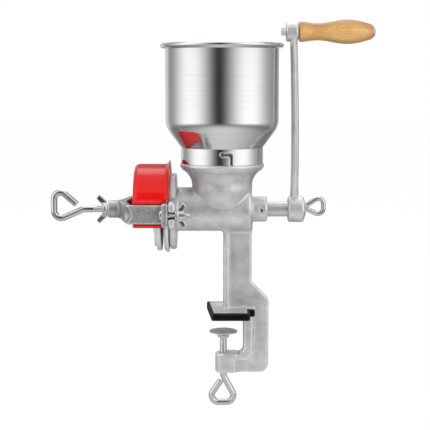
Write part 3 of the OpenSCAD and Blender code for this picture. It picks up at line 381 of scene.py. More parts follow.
# Profile of radius and distance carried round an axis: each point goes to the circle of its radius
def lathe(profile, steps, axis, origin, loop=False):
    profile = np.asarray(profile, float)
    angle = np.arange(steps) * tau / steps
    r, along = profile[:, 0][:, None], profile[:, 1][:, None]
    a, b = r * np.cos(angle), r * np.sin(angle)
    along = along + 0 * angle
    local = {"x": (along, a, b), "z": (a, b, along)}[axis]
    points = (np.stack(local, -1) + np.asarray(origin, float)).reshape(-1, 3)
    return points, gridFaces(len(profile), steps, wrapRows=loop, wrapColumns=True)


# Distance along a path at each of its points
def distanceAlong(path):
    return np.concatenate([[0], np.cumsum(np.linalg.norm(np.diff(path, axis=0), axis=1))])


# Directions of unit length, and the direction of a path at each of its points
def unit(vectors):
    return vectors / np.linalg.norm(vectors, axis=1)[:, None]


def pathAhead(path):
    return unit(np.gradient(path, axis=0))


# Round wire: a ring of points round each point of a flat path, at a radius that changes with
# the distance along it and the angle round it; the two ends are domed shut
def wirePoints(path, radius, across, sides=28):
    dome = 0.35     # height of an end over its radius
    across = np.asarray(across, float)
    ahead = pathAhead(path)
    up = np.cross(across, ahead)
    angle = np.arange(sides) * tau / sides
    r = radius(distanceAlong(path)[:, None], angle[None, :])
    ring = path[:, None] + r[..., None] * (np.cos(angle)[None, :, None] * up[:, None]
                                           + np.sin(angle)[None, :, None] * across[None, None])
    caps = []
    for end, way in ((0, -1), (-1, 1)):
        bend = np.linspace(0, math.pi / 2, 5)[1:]
        size, out = np.cos(bend)[:, None, None], np.sin(bend)[:, None, None]
        mean = r[end].mean() * dome
        cap = path[end] + (ring[end] - path[end]) * size + way * ahead[end] * mean * out
        caps.append(cap if way > 0 else cap[::-1])
    rows = np.concatenate([caps[0], ring, caps[1]])
    return rows.reshape(-1, 3), gridFaces(len(rows), sides, wrapColumns=True)


# Rows of points shut at both ends by their own means, one row after another
def capRows(rows):
    ends = [np.repeat(rows[k].mean(0)[None, None], rows.shape[1], axis=1) for k in (0, -1)]
    rows = np.concatenate([ends[0], rows, ends[1]])
    return rows.reshape(-1, 3), gridFaces(len(rows), rows.shape[1], wrapColumns=True)


# Same path as a line of evenly spaced points, so that a thread or a bend has rings enough
def evenly(path, spacing):
    path = np.asarray(path, float)
    distance = distanceAlong(path)
    at = np.linspace(0, distance[-1], max(int(distance[-1] / spacing), 2) + 1)
    return np.stack([np.interp(at, distance, path[:, k]) for k in range(path.shape[1])], 1)


# Thread: the radius dips by a V whose bottom runs round once for each pitch along the screw
def threadRadius(r, pitch, start, end):
    depth, fade = 0.36 * pitch, 1.5

    def radius(distance, angle):
        turn = distance / pitch - angle / tau
        ridge = np.abs((turn % 1.0) - 0.5) * 2
        inside = np.clip((distance - start) / fade, 0, 1) * np.clip((end - distance) / fade, 0, 1)
        return r - depth * np.clip(1.25 * ridge - 0.1, 0, 1) * inside
    return radius


# Solids drawn as fields: negative inside, zero on the skin, positive outside

def blendMin(a, b, k):
    h = np.maximum(k - np.abs(a - b), 0.0)
    return np.minimum(a, b) - h * h / (4 * k)


def blendMax(a, b, k):
    return -blendMin(-a, -b, k)


# Distance from an axis or a point, from two offsets
def reachOf(a, b):
    return np.sqrt(a * a + b * b)


# Box between two corners: distance past its sides, with rounded edges
def boxField(x, y, z, low, high, k):
    d = [np.abs(v - (a + b) / 2) - (b - a) / 2 for v, a, b in zip((x, y, z), low, high)]
    return blendMax(blendMax(d[0], d[1], k), d[2], k)


# Cylinder along one axis: distance past its wall or past its ends
def rodField(across, along, r, low, high, k):
    return blendMax(across - r, np.abs(along - (low + high) / 2) - (high - low) / 2, k)


# Distance to a closed outline in a plane, negative inside it
def outlineField(a, b, outline):
    best, inside = None, None
    for p, q in zip(outline, np.roll(outline, -1, axis=0)):
        e = q - p
        wa, wb = a - p[0], b - p[1]
        t = np.clip((wa * e[0] + wb * e[1]) / max(e @ e, 1e-12), 0, 1)
        d = (wa - t * e[0]) ** 2 + (wb - t * e[1]) ** 2
        crosses = (p[1] > b) != (q[1] > b)
        left = wa < (wb * e[0] / (e[1] if abs(e[1]) > 1e-12 else 1e-12))
        flip = crosses & left
        best = d if best is None else np.minimum(best, d)
        inside = flip if inside is None else inside ^ flip
    return np.where(inside, -1, 1) * np.sqrt(best)


fineness = 1.0   # coarser skins while other pieces are worked on


# Skin of a field: one point in each cell that the skin crosses, at the mean of the crossings on the
# cell's edges, a quad round each crossed edge, and then three Newton steps along the field's slope
def skinOf(field, low, high, step):
    step = step * fineness
    counts = [int(math.ceil((b - a) / step)) + 1 for a, b in zip(low, high)]
    lines = [a + step * np.arange(n) for a, n in zip(low, counts)]
    x, y, z = lines[0][:, None, None], lines[1][None, :, None], lines[2][None, None, :]
    grid = np.broadcast_to(field(x, y, z), counts)
    total = np.zeros([n - 1 for n in counts] + [3], np.float32)
    number = np.zeros([n - 1 for n in counts], np.float32)
    crossings = []
    for axis in range(3):
        a, b = np.delete(grid, -1, axis), np.delete(grid, 0, axis)
        hit = (a < 0) != (b < 0)
        crossings.append(hit)
        i, j, k = np.nonzero(hit)
        t = a[i, j, k] / (a[i, j, k] - b[i, j, k])
        at = np.stack([i, j, k], -1).astype(np.float32)
        at[:, axis] += t
        others = [v for v in range(3) if v != axis]
        for da in (0, -1):
            for db in (0, -1):
                cell = [i, j, k]
                cell[others[0]] = cell[others[0]] + da
                cell[others[1]] = cell[others[1]] + db
                np.add.at(total, tuple(cell), at)
                np.add.at(number, tuple(cell), 1)
    used = number > 0
    index = np.full(used.shape, -1)
    index[used] = np.arange(int(used.sum()))
    points = total[used] / number[used][:, None] * step + np.asarray(low)
    faces = []
    for axis, hit in enumerate(crossings):
        i, j, k = np.nonzero(hit)
        b, c = [(1, 2), (2, 0), (0, 1)][axis]
        ring = []
        for db, dc in ((-1, -1), (0, -1), (0, 0), (-1, 0)):
            cell = [i, j, k]
            cell[b] = cell[b] + db
            cell[c] = cell[c] + dc
            ring.append(index[tuple(cell)])
        quads = np.stack(ring, -1)
        inward = grid[i, j, k] >= 0
        quads[inward] = quads[inward][:, ::-1]
        faces.append(quads)
    nudge = 0.02
    for _ in range(3):
        value = field(*points.T)
        sides = [(points + nudge * e, points - nudge * e) for e in np.eye(3)]
        slope = np.stack([(field(*a.T) - field(*b.T)) / (2 * nudge) for a, b in sides], -1)
        move = slope * (value / np.maximum((slope ** 2).sum(-1), 0.05))[:, None]
        size = np.linalg.norm(move, axis=1)[:, None]
        points = points - move * np.minimum(1, 0.5 * step / np.maximum(size, 1e-9))
    return points, np.concatenate(faces)


# Body casting: barrel, throat, flange with ears, column, clamp frame

casting = {
    "barrelR": 26.5, "boreR": 22.0, "flangeX": -63.0, "flangeT": 8.0, "flangeR": 46.0, "flangeDrop": 2.5,
    "earReach": 73.0, "earHalf": 16.0, "slotAt": 66.5, "slotHalf": 4.0, "endX": 36.0,
    "bossR": 15.3, "bossEnd": 54.5, "shaftR": 9.16, "bowlZ": 160.0, "bowlR": 36.4, "wall": 4.5,
    "flareX": 58.4, "flareR": 22.0,
    "lipR": 50.0, "lipZ": 187.0, "lipEdge": 2.3, "spigotR": 48.2, "spigotBore": 44.2, "spigotTop": 205.0,
    "boreRise": 22.4, "bossFrom": 20.0, "boreEnd": 30.0, "ribZ": 7.0, "blockX": 17.2, "ledgeLean": 0.989,
    "ribX": 5.5, "ribHalf": 4.0, "ribOut": 8.0, "webHalf": 4.0, "rimHalf": 10.0, "gapZ": -46.7,
    "jawZ": -71.2, "clampX": 1.6, "clampBossR": 9.6, "screwHole": 4.55,
    "oilR": 2.0, "oilX": 47.5, "beadR": 2.25, "beadW": 0.55, "beadH": 0.7,
    "ledgeX": -12.9, "ledgeSkew": 5.8, "ledgeHalf": 34.0, "ledgeBack": 30.5, "ledgeZ": 6.25, "ledgeT": 6.5,
}
webOutline = softCorners(
    [(1.5, 131), (36, 131), (36, 42), (57, 21), (57, -71.2), (1.6, -71.2), (1.6, -46.7), (26.5, -46.7),
     (26.5, 3.2), (1.5, 3.2)],
    [0, 0, 5, 7, 11, 0, 0, 8, 0, 0], loop=True)
rimOutline = softCorners(
    [(1.6, -55.5), (37.9, -55.5), (37.9, 9.3), (26.5, 9.3), (26.5, -46.7), (1.6, -46.7)],
    [0, 10, 0, 0, 8, 0], steps=8, loop=True)


def castingField(x, y, z):
    c = casting
    u = z - axisZ
    radial = reachOf(y, u)
    around = reachOf(x, y)
    barrel = rodField(radial, x, c["barrelR"], c["flangeX"], c["endX"], 5)
    boss = rodField(radial, x, c["bossR"], c["bossFrom"], c["bossEnd"], 2.6)
    ears = blendMax(np.abs(y) - c["earReach"], np.abs(u) - c["earHalf"], 9)
    face = blendMin(reachOf(y, u + c["flangeDrop"]) - c["flangeR"], ears, 8)
    slot = reachOf(np.maximum(c["slotAt"] - np.abs(y), 0), u)
    face = blendMax(face, c["slotHalf"] - slot, 1.5)
    flange = blendMax(face, np.abs(x - c["flangeX"] - c["flangeT"] / 2) - c["flangeT"] / 2, 2.2)
    solid = blendMin(barrel, flange, 3)
    solid = blendMax(solid, c["flangeX"] - x, 1.6)
    solid = blendMin(solid, boss, 1.8)
    # throat: sphere below, hollow flare above it, a rounded lip, then the spigot inside the hopper's neck
    bowl = reachOf(around, z - c["bowlZ"]) - c["bowlR"]
    rise = np.clip(z - c["bowlZ"], 0, c["flareR"] - 0.4)
    flareR = np.minimum(c["flareX"] - np.sqrt(c["flareR"] ** 2 - rise ** 2), c["lipR"] - 1.6)
    lean = np.sqrt(c["flareR"] ** 2 - rise ** 2) / c["flareR"]
    flare = np.maximum(np.maximum((around - flareR) * lean, c["bowlZ"] - z), z - c["lipZ"] + 1)
    edge = c["lipEdge"]
    lip = reachOf(np.maximum(around - c["lipR"] + edge, 0), z - c["lipZ"] + edge) - edge
    spigot = rodField(around, z, c["spigotR"], c["lipZ"] - 3, c["spigotTop"], 1.2)
    throat = blendMin(np.minimum(bowl, flare), lip, 2.5)
    solid = blendMin(solid, throat, 1.3)
    solid = np.minimum(solid, spigot)
    # column: round rib, flat web, and the raised rim round the clamp opening
    rib = reachOf(x - c["ribX"], np.maximum(np.abs(y) - c["ribOut"], 0)) - c["ribHalf"]
    rib = np.maximum(np.maximum(rib, c["ribZ"] - z), z - axisZ)
    web = blendMax(outlineField(x, z, webOutline), np.abs(y) - c["webHalf"], 2.4)
    rim = blendMax(outlineField(x, z, rimOutline), np.abs(y) - c["rimHalf"], 2.6)
    frameWork = blendMin(blendMin(rib, web, 0.8), rim, 3)
    ledge = blendMax(np.abs(y) - c["ledgeHalf"], blendMax(pastLedge(x, y), x - c["ledgeBack"], 3), 4)
    ledge = blendMax(ledge, np.abs(z - c["ledgeZ"]) - c["ledgeT"] / 2, 1.4)
    frameWork = blendMin(frameWork, ledge, 3)
    r = c["clampBossR"]
    jaw = rodField(reachOf(x - c["clampX"], y), z, r, c["jawZ"], c["gapZ"], 3)
    block = boxField(x, y, z, (c["clampX"], -r, c["jawZ"]), (c["blockX"], r, c["gapZ"]), 2.4)
    frameWork = blendMin(blendMin(frameWork, np.minimum(jaw, block), 3), jaw, 1)
    solid = blendMin(solid, np.maximum(frameWork, z - axisZ), 4)
    # hollows
    rise = np.clip(z - c["bowlZ"], 0, c["boreRise"])
    outerR = c["flareR"] + c["wall"]
    inner = np.minimum(c["flareX"] - np.sqrt(outerR ** 2 - rise ** 2), c["spigotBore"])
    hollow = blendMin(reachOf(around, z - c["bowlZ"]) - c["bowlR"] + c["wall"],
                      np.maximum((around - inner) * 0.8, c["bowlZ"] - z), 2)
    bore = rodField(radial, x, c["boreR"], -80, c["boreEnd"], 1)
    solid = blendMax(solid, -hollow, 1.2)
    solid = blendMax(solid, -bore, 1.2)
    solid = blendMax(solid, c["shaftR"] - radial, 1)
    # the oil hole is drilled from the near side only, and the screw's hole from below
    solid = blendMax(solid, c["oilR"] - reachOf(x - c["oilX"], u) - 50 * (y > 0), 0.8)
    screw = reachOf(x - c["clampX"], y)
    return blendMax(solid, c["screwHole"] - screw - 40 * (z > -20), 1)


# Distance past the ledge's front edge, which runs askew across the clamp
def pastLedge(x, y):
    c = casting
    return (c["ledgeX"] - c["ledgeSkew"] * y / (2 * c["ledgeHalf"]) - x) * c["ledgeLean"]


# Turned bead round the mouth of the oil hole, which is finer than the skin's cells
def oilBead():
    c = casting
    a = np.linspace(0, tau, 13)[:-1]
    oval = np.stack([c["beadR"] + c["beadW"] * np.cos(a), c["beadH"] * np.sin(a)], 1)
    points, faces = lathe(oval, 32, "z", (0, 0, 0), loop=True)
    points = np.stack([points[:, 0] + c["oilX"], points[:, 2] - c["bossR"] + 0.1, points[:, 1] + axisZ], -1)
    return points, faces[:, ::-1]


addPiece("bodyCasting", [skinOf(castingField, (-65, -75, -73), (58.5, 75, 207), 1.3), oilBead()],
         "frame", "body_casting", "tinned_iron", "tinnedWithShadedNeck", 50, mend=False)
print("casting done")


# Rubber cap on the upper jaw

capShape = {
    "wall": 3.0, "floor": 3.0, "top": 9.5, "cheekX": 40.0, "cheekIn": 10.0, "cheekOut": 13.0, "notchX": 26.5,
}


def capField(x, y, z):
    s = capShape
    wall, middle = s["wall"], s["top"] / 2
    front, back, side = pastLedge(x, y), x - casting["ledgeBack"], np.abs(y) - casting["ledgeHalf"]
    plan = blendMax(blendMax(front - wall, back - wall, 2.5), side - wall, 2.5)
    outer = blendMax(plan, np.abs(z - middle) - middle, 1.6)
    low, high = (casting["ledgeBack"], s["cheekIn"], 0), (s["cheekX"], s["cheekOut"], s["top"])
    cheeks = boxField(x, np.abs(y), z, low, high, 1.6)
    outer = blendMin(outer, cheeks, 0.8)
    inner = blendMax(blendMax(front, back, 0.8), blendMax(side, s["floor"] - z, 0.8), 0.8)
    notch = boxField(x, y, z, (s["notchX"], -s["cheekIn"], -20), (60, s["cheekIn"], 30), 0.6)
    return blendMax(blendMax(outer, -inner, 0.8), -notch, 0.8)


addPiece("rubberCap", [skinOf(capField, (-21, -39, -2), (42, 39, 11), 0.75)],
         "frame", "jaw_rubber_cap", "black_rubber", sharpAngle=60, mend=False)


# Hopper: spun sheet with a rolled rim and two bayonet slots

hopperShape = {
    "baseZ": 187.0, "neckR": 49.5, "neckH": 19.4, "wallR": 68.0, "height": 143.0, "slope": 0.74,
    "shoulder": 24.0, "sheet": 1.0, "roll": 2.9, "flare": 1.2, "slotR": 3.1, "seat": 12.8, "entry": 10.12,
    "bandW": 2.4, "bandH": 0.85, "bandShift": 0.75, "cutFrom": 44.0, "cutTo": 54.0,
}


# Side of the hopper set in by a distance: neck, cone, an arc of the shoulder, then the wall
def hopperSide(inset):
    h = hopperShape
    tilt = math.sqrt(1 + h["slope"] ** 2)
    wallX, neckX = h["wallR"] - inset, h["neckR"] - inset
    coneZ = h["neckH"] + inset * (tilt - 1) / h["slope"]
    cornerZ = coneZ + (wallX - neckX) / h["slope"]
    half = math.atan(h["slope"]) / 2
    bend = h["shoulder"] - inset
    reach = bend * math.tan(half)
    a = 2 * half * (1 - np.linspace(0, 1, 17))
    arc = np.stack([wallX - bend + bend * np.cos(a), cornerZ + reach - bend * np.sin(a)], 1)
    neck = softCorners([(neckX, 0.5), (neckX, coneZ), tuple(arc[0])], [0, 1.6, 0], 5)
    return np.concatenate([neck[:-1], arc])


def hopperProfile():
    h = hopperShape
    outer, inner = hopperSide(0), hopperSide(h["sheet"])
    rollX, rollZ = h["wallR"] - h["sheet"] + h["roll"] + h["flare"], h["height"] - h["roll"]
    a = np.radians(np.linspace(229, 540, 30))
    roll = np.stack([rollX + h["roll"] * np.cos(a), rollZ + h["roll"] * np.sin(a)], 1)
    low, lift = rollZ - h["roll"] - h["flare"], np.linspace(0, 1, 6)
    ease = (1 - np.cos(math.pi * lift)) / 2 * h["flare"]
    outFlare = np.stack([h["wallR"] + ease, low + (roll[0][1] - low) * lift], 1)
    inFlare = np.stack([h["wallR"] - h["sheet"] + ease, low + (rollZ - low) * lift], 1)
    edge = [(h["sheet"], 0.3), (0.75, 0.0), (0.25, 0.0), (0, 0.3)]
    foot = np.array([(h["neckR"] - inset, height) for inset, height in edge])
    return np.concatenate([foot, outer[1:], outFlare[:-1], roll, inFlare[::-1][1:], inner[::-1][:-1]])


def meshOf(name, points, polygons):
    mesh = bpy.data.meshes.new(name)
    mesh.from_pydata((points * millimetre).tolist(), [], polygons)
    mendMesh(mesh)
    return mesh


# Outline of the slot, unrolled: distance round the neck and height, from the way in to the seat
def slotPath():
    h = hopperShape
    r, seat, entry = h["slotR"], h["seat"], h["entry"]
    corners = [(entry + r, 0), (entry + r, seat + r), (-r, seat + r),
               (-r, seat - r), (entry - r, seat - r), (entry - r, 0)]
    return softCorners(corners, [0, r, r * 0.98, r * 0.98, 2.2, 0], 7)


def onNeck(path, r, turned):
    angle = path[:, 0] / hopperShape["neckR"] + turned
    return np.stack([r * np.sin(angle), -r * np.cos(angle), path[:, 1] + hopperShape["baseZ"]], 1)


# Pressed band along a slot: an oval carried along it, a little to the outside
def slotBand(turned):
    h = hopperShape
    path = onNeck(evenly(slotPath(), 0.6), h["neckR"] + 0.1, turned)
    outward = unit(path * [1, 1, 0])
    side = np.cross(pathAhead(path), outward)
    path = path - side * h["bandShift"]
    a = (np.arange(12) * tau / 12)[None, :, None]
    oval = h["bandW"] / 2 * np.cos(a) * side[:, None] + h["bandH"] * np.sin(a) * outward[:, None]
    return capRows(path[:, None] + oval)


# Block as wide as a slot, that cuts it out of the sheet
def slotCutter(turned):
    path = slotPath()
    path = np.concatenate([[(path[0][0], -3)], path, [(path[-1][0], -3)]])
    rings = np.stack([onNeck(path, hopperShape[r], turned) for r in ("cutFrom", "cutTo")])
    count = len(path)
    ends = [list(range(count)), list(range(count, 2 * count))]
    return meshOf("slotCutter", rings.reshape(-1, 3), gridFaces(2, count, wrapColumns=True).tolist() + ends)


# Cuts both slots out of the turned sheet and adds their bands
def buildHopper():
    h = hopperShape
    points, faces = lathe(hopperProfile(), 144, "z", (0, 0, h["baseZ"]), loop=True)
    shell = addObject("hopperShell", meshOf("hopperShell", points, faces.tolist()))
    for turned in (0, math.pi):
        cutter = addObject("slotCutter", slotCutter(turned))
        cut = shell.modifiers.new("slot", "BOOLEAN")
        cut.solver = "EXACT"
        cut.object = cutter
        bpy.context.view_layer.update()
        cutMesh = bpy.data.meshes.new_from_object(shell.evaluated_get(bpy.context.evaluated_depsgraph_get()))
        shell.modifiers.clear()
        shell.data = cutMesh
        bpy.data.objects.remove(cutter)
    bpy.data.objects.remove(shell)
    spots = np.empty(len(cutMesh.vertices) * 3)
    cutMesh.vertices.foreach_get("co", spots)
    spots = spots.reshape(-1, 3) / millimetre
    bands, bandFaces = joinParts([slotBand(turned) for turned in (0, math.pi)])
    polygons = [list(p.vertices) for p in cutMesh.polygons] + (bandFaces + len(spots)).tolist()
    return meshOf("hopperBowl", np.concatenate([spots, bands]), polygons)


dressPiece("hopperBowl", buildHopper(), "hopper_body", "hopper", "stainless", sharpAngle=30)
print("hopper done")


# Flour hood: thin red cup with a keyhole and two pairs of lips that sit on the yoke's arms

hoodShape = {
    "r": 54.9, "wall": 1.7, "endX": -105.5, "edgeX": -65.5, "round": 7.0, "keyHalf": 6.5, "ringZ": 147.8,
    "upperZ": 143.2, "lowerZ": 118.8, "lipFrom": -104.7, "lipTo": -71.4, "lipT": 3.6, "lipOut": 59.5,
    "upperIn": 52.2, "lowerIn": 50.2,
    # section of the rim: distance beyond the edge and beyond the wall
    "rim": [(-3.4, -1.7), (-0.6, -1.6), (1.6, 0.2), (2.6, 2.6), (3.0, 4.6),
            (2.0, 4.6), (1.3, 2.9), (0.2, 1.2), (-2.0, 0.05), (-3.4, -0.1)],
    "rimRounds": [0.4, 1.5, 2, 1.5, 0.45, 0.45, 1.5, 1.5, 1.5, 0.4],
}


def hoodField(x, y, z):
    h = hoodShape
    u = z - axisZ
    radial = reachOf(y, u)
    outer = blendMax(radial - h["r"], h["endX"] - x, h["round"])
    inner = blendMax(radial - h["r"] + h["wall"], h["endX"] + h["wall"] - x, h["round"] - 1)
    shell = blendMax(outer, -inner, 0.7)
    shell = blendMax(shell, h["lowerZ"] - h["lipT"] - z, 0.7)
    key = np.where(u < 0, np.abs(y), radial) - h["keyHalf"]
    shell = blendMax(shell, -np.maximum(key, x - h["endX"] - 2 * h["wall"]), 0.7)
    shell = blendMax(shell, x - h["edgeX"], 0.5)
    for inside, bottom in ((h["upperIn"], h["upperZ"]), (h["lowerIn"], h["lowerZ"] - h["lipT"])):
        low, high = (h["lipFrom"], inside, bottom), (h["lipTo"], h["lipOut"], bottom + h["lipT"])
        shell = blendMin(shell, boxField(x, np.abs(y), z, low, high, 1.6), 1.6)
    return shell


# Flared rim: a thin curved section carried round the shaft's axis, above the ears only
def hoodRim():
    h = hoodShape
    section = softCorners(h["rim"], h["rimRounds"], 4, loop=True)
    reach = math.acos((h["ringZ"] - axisZ) / h["r"])
    angle = np.linspace(-reach, reach, 150)[:, None]
    x, r = h["edgeX"] + section[:, 0] + 0 * angle, h["r"] + section[:, 1]
    return capRows(np.stack([x, -r * np.sin(angle), axisZ + r * np.cos(angle)], -1))


addPiece("redHood", [skinOf(hoodField, (-108, -62, 114), (-60, 62, 193), 0.8), hoodRim()],
         "frame", "flour_hood", "red_plastic", sharpAngle=60)
print("hood done")


# Yoke: boss, hollowed bow and two arms with feet

yokeShape = {
    "bossR": 10.6, "bossX": -138.0, "bossEnd": -116.0, "half": 11.4, "screwHole": 4.05,
    "narrowTo": 6.0, "narrowOver": 26.0,
    "scoopR": 12.2, "scoopX": -118.6, "scoopY": 62.0, "faceX": -63.0, "footX": -70.6, "footHalf": 13.5,
    "footIn": 55.3, "footOut": 73.0, "boltY": 66.5, "boltHole": 3.45,
}
yokePlan = softCorners(
    [(-124, 0), (-124, 8.6), (-111.5, 61.3), (-60, 61.3), (-60, 55.3), (-107, 55.3), (-116, 4), (-116, 0)],
    [0, 8, 3, 0, 0, 4, 5, 0], loop=True)


def yokeField(x, y, z):
    s = yokeShape
    u = z - axisZ
    side = np.abs(y)
    radial = reachOf(y, u)
    # the bow is as high as the arms, and narrows to the boss at the middle
    reach = np.clip((side - s["narrowTo"]) / s["narrowOver"], 0, 1)
    half = s["bossR"] + (s["half"] - s["bossR"]) * reach * reach * (3 - 2 * reach)
    bow = blendMax(outlineField(x, side, yokePlan), np.abs(u) - half, 2.4)
    bow = blendMax(bow, x - s["faceX"], 1)
    low, high = (s["footX"], s["footIn"], -s["footHalf"]), (s["faceX"], s["footOut"], s["footHalf"])
    foot = boxField(x, side, u, low, high, 2.2)
    boss = rodField(radial, x, s["bossR"], s["bossX"], s["bossEnd"], 1.6)
    solid = blendMin(blendMin(bow, boss, 4), foot, 1.4)
    scoop = s["scoopR"] - np.sqrt((x - s["scoopX"]) ** 2 + (side - s["scoopY"]) ** 2 + u * u)
    bolt = s["boltHole"] - reachOf(side - s["boltY"], u)
    for cut in (scoop, s["screwHole"] - radial, bolt):
        solid = blendMax(solid, cut, 0.8)
    return blendMax(solid, x - s["faceX"], 0.6)


addPiece("yokeCasting", [skinOf(yokeField, (-142, -75, 115), (-61, 75, 147), 0.8)],
         "frame", "yoke", "tinned_iron", "tumbled_iron", 50, mend=False)
print("yoke done")


# Crank arm: hub with a dome, ridged blade, boss for the handle

crankShape = {
    "hubX": 79.5, "hubEnd": 98.0, "hubR": 15.8, "dome": 4.0, "domeR": 30.0, "shaftR": 9.16, "shaftEnd": 95.0,
    "topX": 76.0, "topEnd": 90.4, "topR": 11.6, "topZ": 343.6, "screwHole": 3.05, "boltHole": 3.06,
    "lowX": 87.2, "highX": 85.0, "bow": 1.6, "halfLow": 12.0, "halfHigh": 8.5, "narrow": 0.086,
    # one side of the blade's section: distance along X, and share of the blade's half width
    "land": [(-4.65, -0.25), (-4.5, -0.42), (-2.5, -0.93), (-2.1, -0.975), (-1.4, -1), (0.5, -1),
             (0.9, -0.985), (1.3, -0.93), (1.7, -0.94), (2.0, -0.95), (2.4, -0.93), (4.5, -0.46),
             (4.65, -0.3)],
    # where the blade swells and narrows by the hub: share, height above the axis and reach
    "foot": (0.1, 14.0, 9.0), "neck": (0.38, 12.0, 9.0),
}


def crankField(x, y, z):
    c = crankShape
    u = z - axisZ
    radial = reachOf(y, u)
    hub = rodField(radial, x, c["hubR"], c["hubX"], c["hubEnd"] + 1, 3.2)
    dome = reachOf(x - (c["hubEnd"] + c["dome"] - c["domeR"]), radial) - c["domeR"]
    hub = blendMin(hub, blendMax(dome, radial - c["hubR"] + 1.5, 2), 1)
    hub = blendMax(hub, c["hubX"] - x, 1.6)
    w = z - c["topZ"]
    top = reachOf(y, w)
    boss = rodField(top, x, c["topR"], c["topX"], c["topEnd"], 2.4)
    bearing = blendMax(radial - c["shaftR"], x - c["shaftEnd"], 0.5)
    solid = blendMax(np.minimum(hub, boss), -bearing, 0.8)
    solid = blendMax(solid, c["screwHole"] - radial, 0.6)
    return blendMax(solid, c["boltHole"] - top, 0.6)


# Blade from hub to handle: each row is the same outline, a narrow land with a groove beside it and a
# bevel on either side, repeated on the back; rows bow towards the handle by half a sine wave and taper
def bladeRows():
    c = crankShape
    half = np.array(c["land"])
    outline = np.concatenate([half, half[::-1] * [1, -1]])
    t = np.linspace(0, 1, 60)[:, None]
    z = axisZ + 8 + (c["topZ"] - 4 - axisZ - 8) * t
    share = (z - axisZ) / (c["topZ"] - axisZ)
    middle = c["lowX"] + (c["highX"] - c["lowX"]) * share + c["bow"] * np.sin(math.pi * share)

    def bell(amount, height, reach):
        return amount * np.exp(-((z - axisZ - height) / reach) ** 2)
    x = middle + outline[:, 0] * (1 - c["narrow"] * share) * (1 + bell(*c["foot"]))
    y = outline[:, 1] * (c["halfLow"] + (c["halfHigh"] - c["halfLow"]) * share) * (1 - bell(*c["neck"]))
    return capRows(np.stack([x, y, z + 0 * x], -1))


# the two ends of the crank are skins of one field, and the blade runs between them
crankEnds = [((74, -18, 113), (104, 18, 150)), ((74, -14, 329), (93, 14, 358))]
addPiece("crankCasting", [skinOf(crankField, low, high, 0.95) for low, high in crankEnds] + [bladeRows()],
         "crankshaft", "crank_arm", "tinned_iron", sharpAngle=34)
print("crank done")


# Wing nuts

wingShape = {"root": 6.0, "tipW": 4.8, "tipH": 3.8, "wingT": 3.5}


# Field of a wing nut: a along its own axis, b from wing to wing, c across both
def wingNutField(a, b, c, nut):
    w, hubR, hubLen, span, lean = wingShape, nut["hubR"], nut["hubLen"], nut["span"], nut["lean"]
    radial = reachOf(b, c)
    coned = hubR + 0.4 - 0.09 * np.clip(a, 0, hubLen) - 0.5 * np.clip(a - 1.6, 0, 1)
    hub = blendMax((radial - coned) * 0.97, np.abs(a - hubLen / 2) - hubLen / 2, 1.2)
    corners = [(hubR * 0.4, 1.0), (hubR * 0.4, w["root"]), (span / 2 - w["tipW"], lean + w["tipH"]),
               (span / 2, lean), (hubR + 0.6, 0.8)]
    outline = softCorners(corners, [0, 2, 1, 1, 2.5], 5, loop=True)
    wing = blendMax(outlineField(np.abs(b), a, outline), np.abs(c) - w["wingT"] / 2, 1.4)
    return blendMax(blendMin(hub, wing, 2.2), nut["bore"] - radial, 0.6)


# The nut's own axis goes along X, towards its way; its wings stand up
def addWingNut(name, node, body, y, nut):
    way = nut["way"]
    side, deep = nut["span"] / 2 + 1.5, nut["hubR"] + 2.5
    high = max(nut["hubLen"], wingShape["tipH"] + nut["lean"]) + 2
    points, faces = skinOf(lambda a, b, c: wingNutField(a, b, c, nut),
                           (-1.5, -side, -deep), (high, side, deep), 0.55)
    placed = np.stack([nut["faceX"] + way * points[:, 0], y - way * points[:, 2], axisZ + points[:, 1]], -1)
    addPiece(name, [(placed, faces)], body, node, "plated_steel", sharpAngle=60, mend=False)


boltNut = {"faceX": -53.4, "way": 1, "hubR": 5.6, "hubLen": 12.0, "span": 31.0, "bore": 3.25, "lean": 8.0}
lockNut = {"faceX": -138.0, "way": -1, "hubR": 8.0, "hubLen": 6.5, "span": 36.0, "bore": 4.05, "lean": 11.2}
sides = {"near": -66.5, "far": 66.5}    # distance of the yoke's bolts from the shaft's axis
for side, boltY in sides.items():
    addWingNut(side + "WingNut", side + "_wing_nut", side + "_nut", boltY, boltNut)
addWingNut("lockWingNut", "adjusting_lock_nut", "lock_nut", 0.0, lockNut)
print("wing nuts done")


# Eye screws: one bar each, bent into an open triangle, with a rolled thread

# Eye beyond the bend at the start: two sides of a triangle and the tail that comes back to the neck
def eyeCorners(length, low, high, aim, share):
    tail = np.array([length, high]) - np.array([aim[0] * length, aim[1] * high])
    tail = tail / np.linalg.norm(tail) * math.hypot(length, high) * share
    return [(0, 0), (length, -low), (length, high), (length - tail[0], high - tail[1])]


def addEyeScrew(name, node, body, s):
    tip, neck, eyeWay = (np.asarray(s[key], float) for key in ("tip", "neck", "eyeWay"))
    length = np.linalg.norm(neck - tip)
    corners = [(-length, 0)] + eyeCorners(s["length"], s["low"], s["high"], s["aim"], s["tail"])
    flat = evenly(softCorners(corners, [0, s["bend"] * 0.999, s["bend"], s["bend"], 0], 14), 0.42)
    path = neck + flat[:, :1] * (neck - tip) / length + flat[:, 1:] * eyeWay
    thread = threadRadius(s["r"], s["pitch"], 1.0, s["threaded"])

    # the shank is thicker than the eye's wire by the height that rolling raises the thread
    def radius(distance, angle):
        raised = (s["shank"] - s["r"]) * np.clip((s["threaded"] + 3 - distance) / 3, 0, 1)
        return thread(distance, angle) + raised
    addPiece(name, [wirePoints(path, radius, (0, 1, 0), 32)], body, node, "plated_steel", sharpAngle=75)


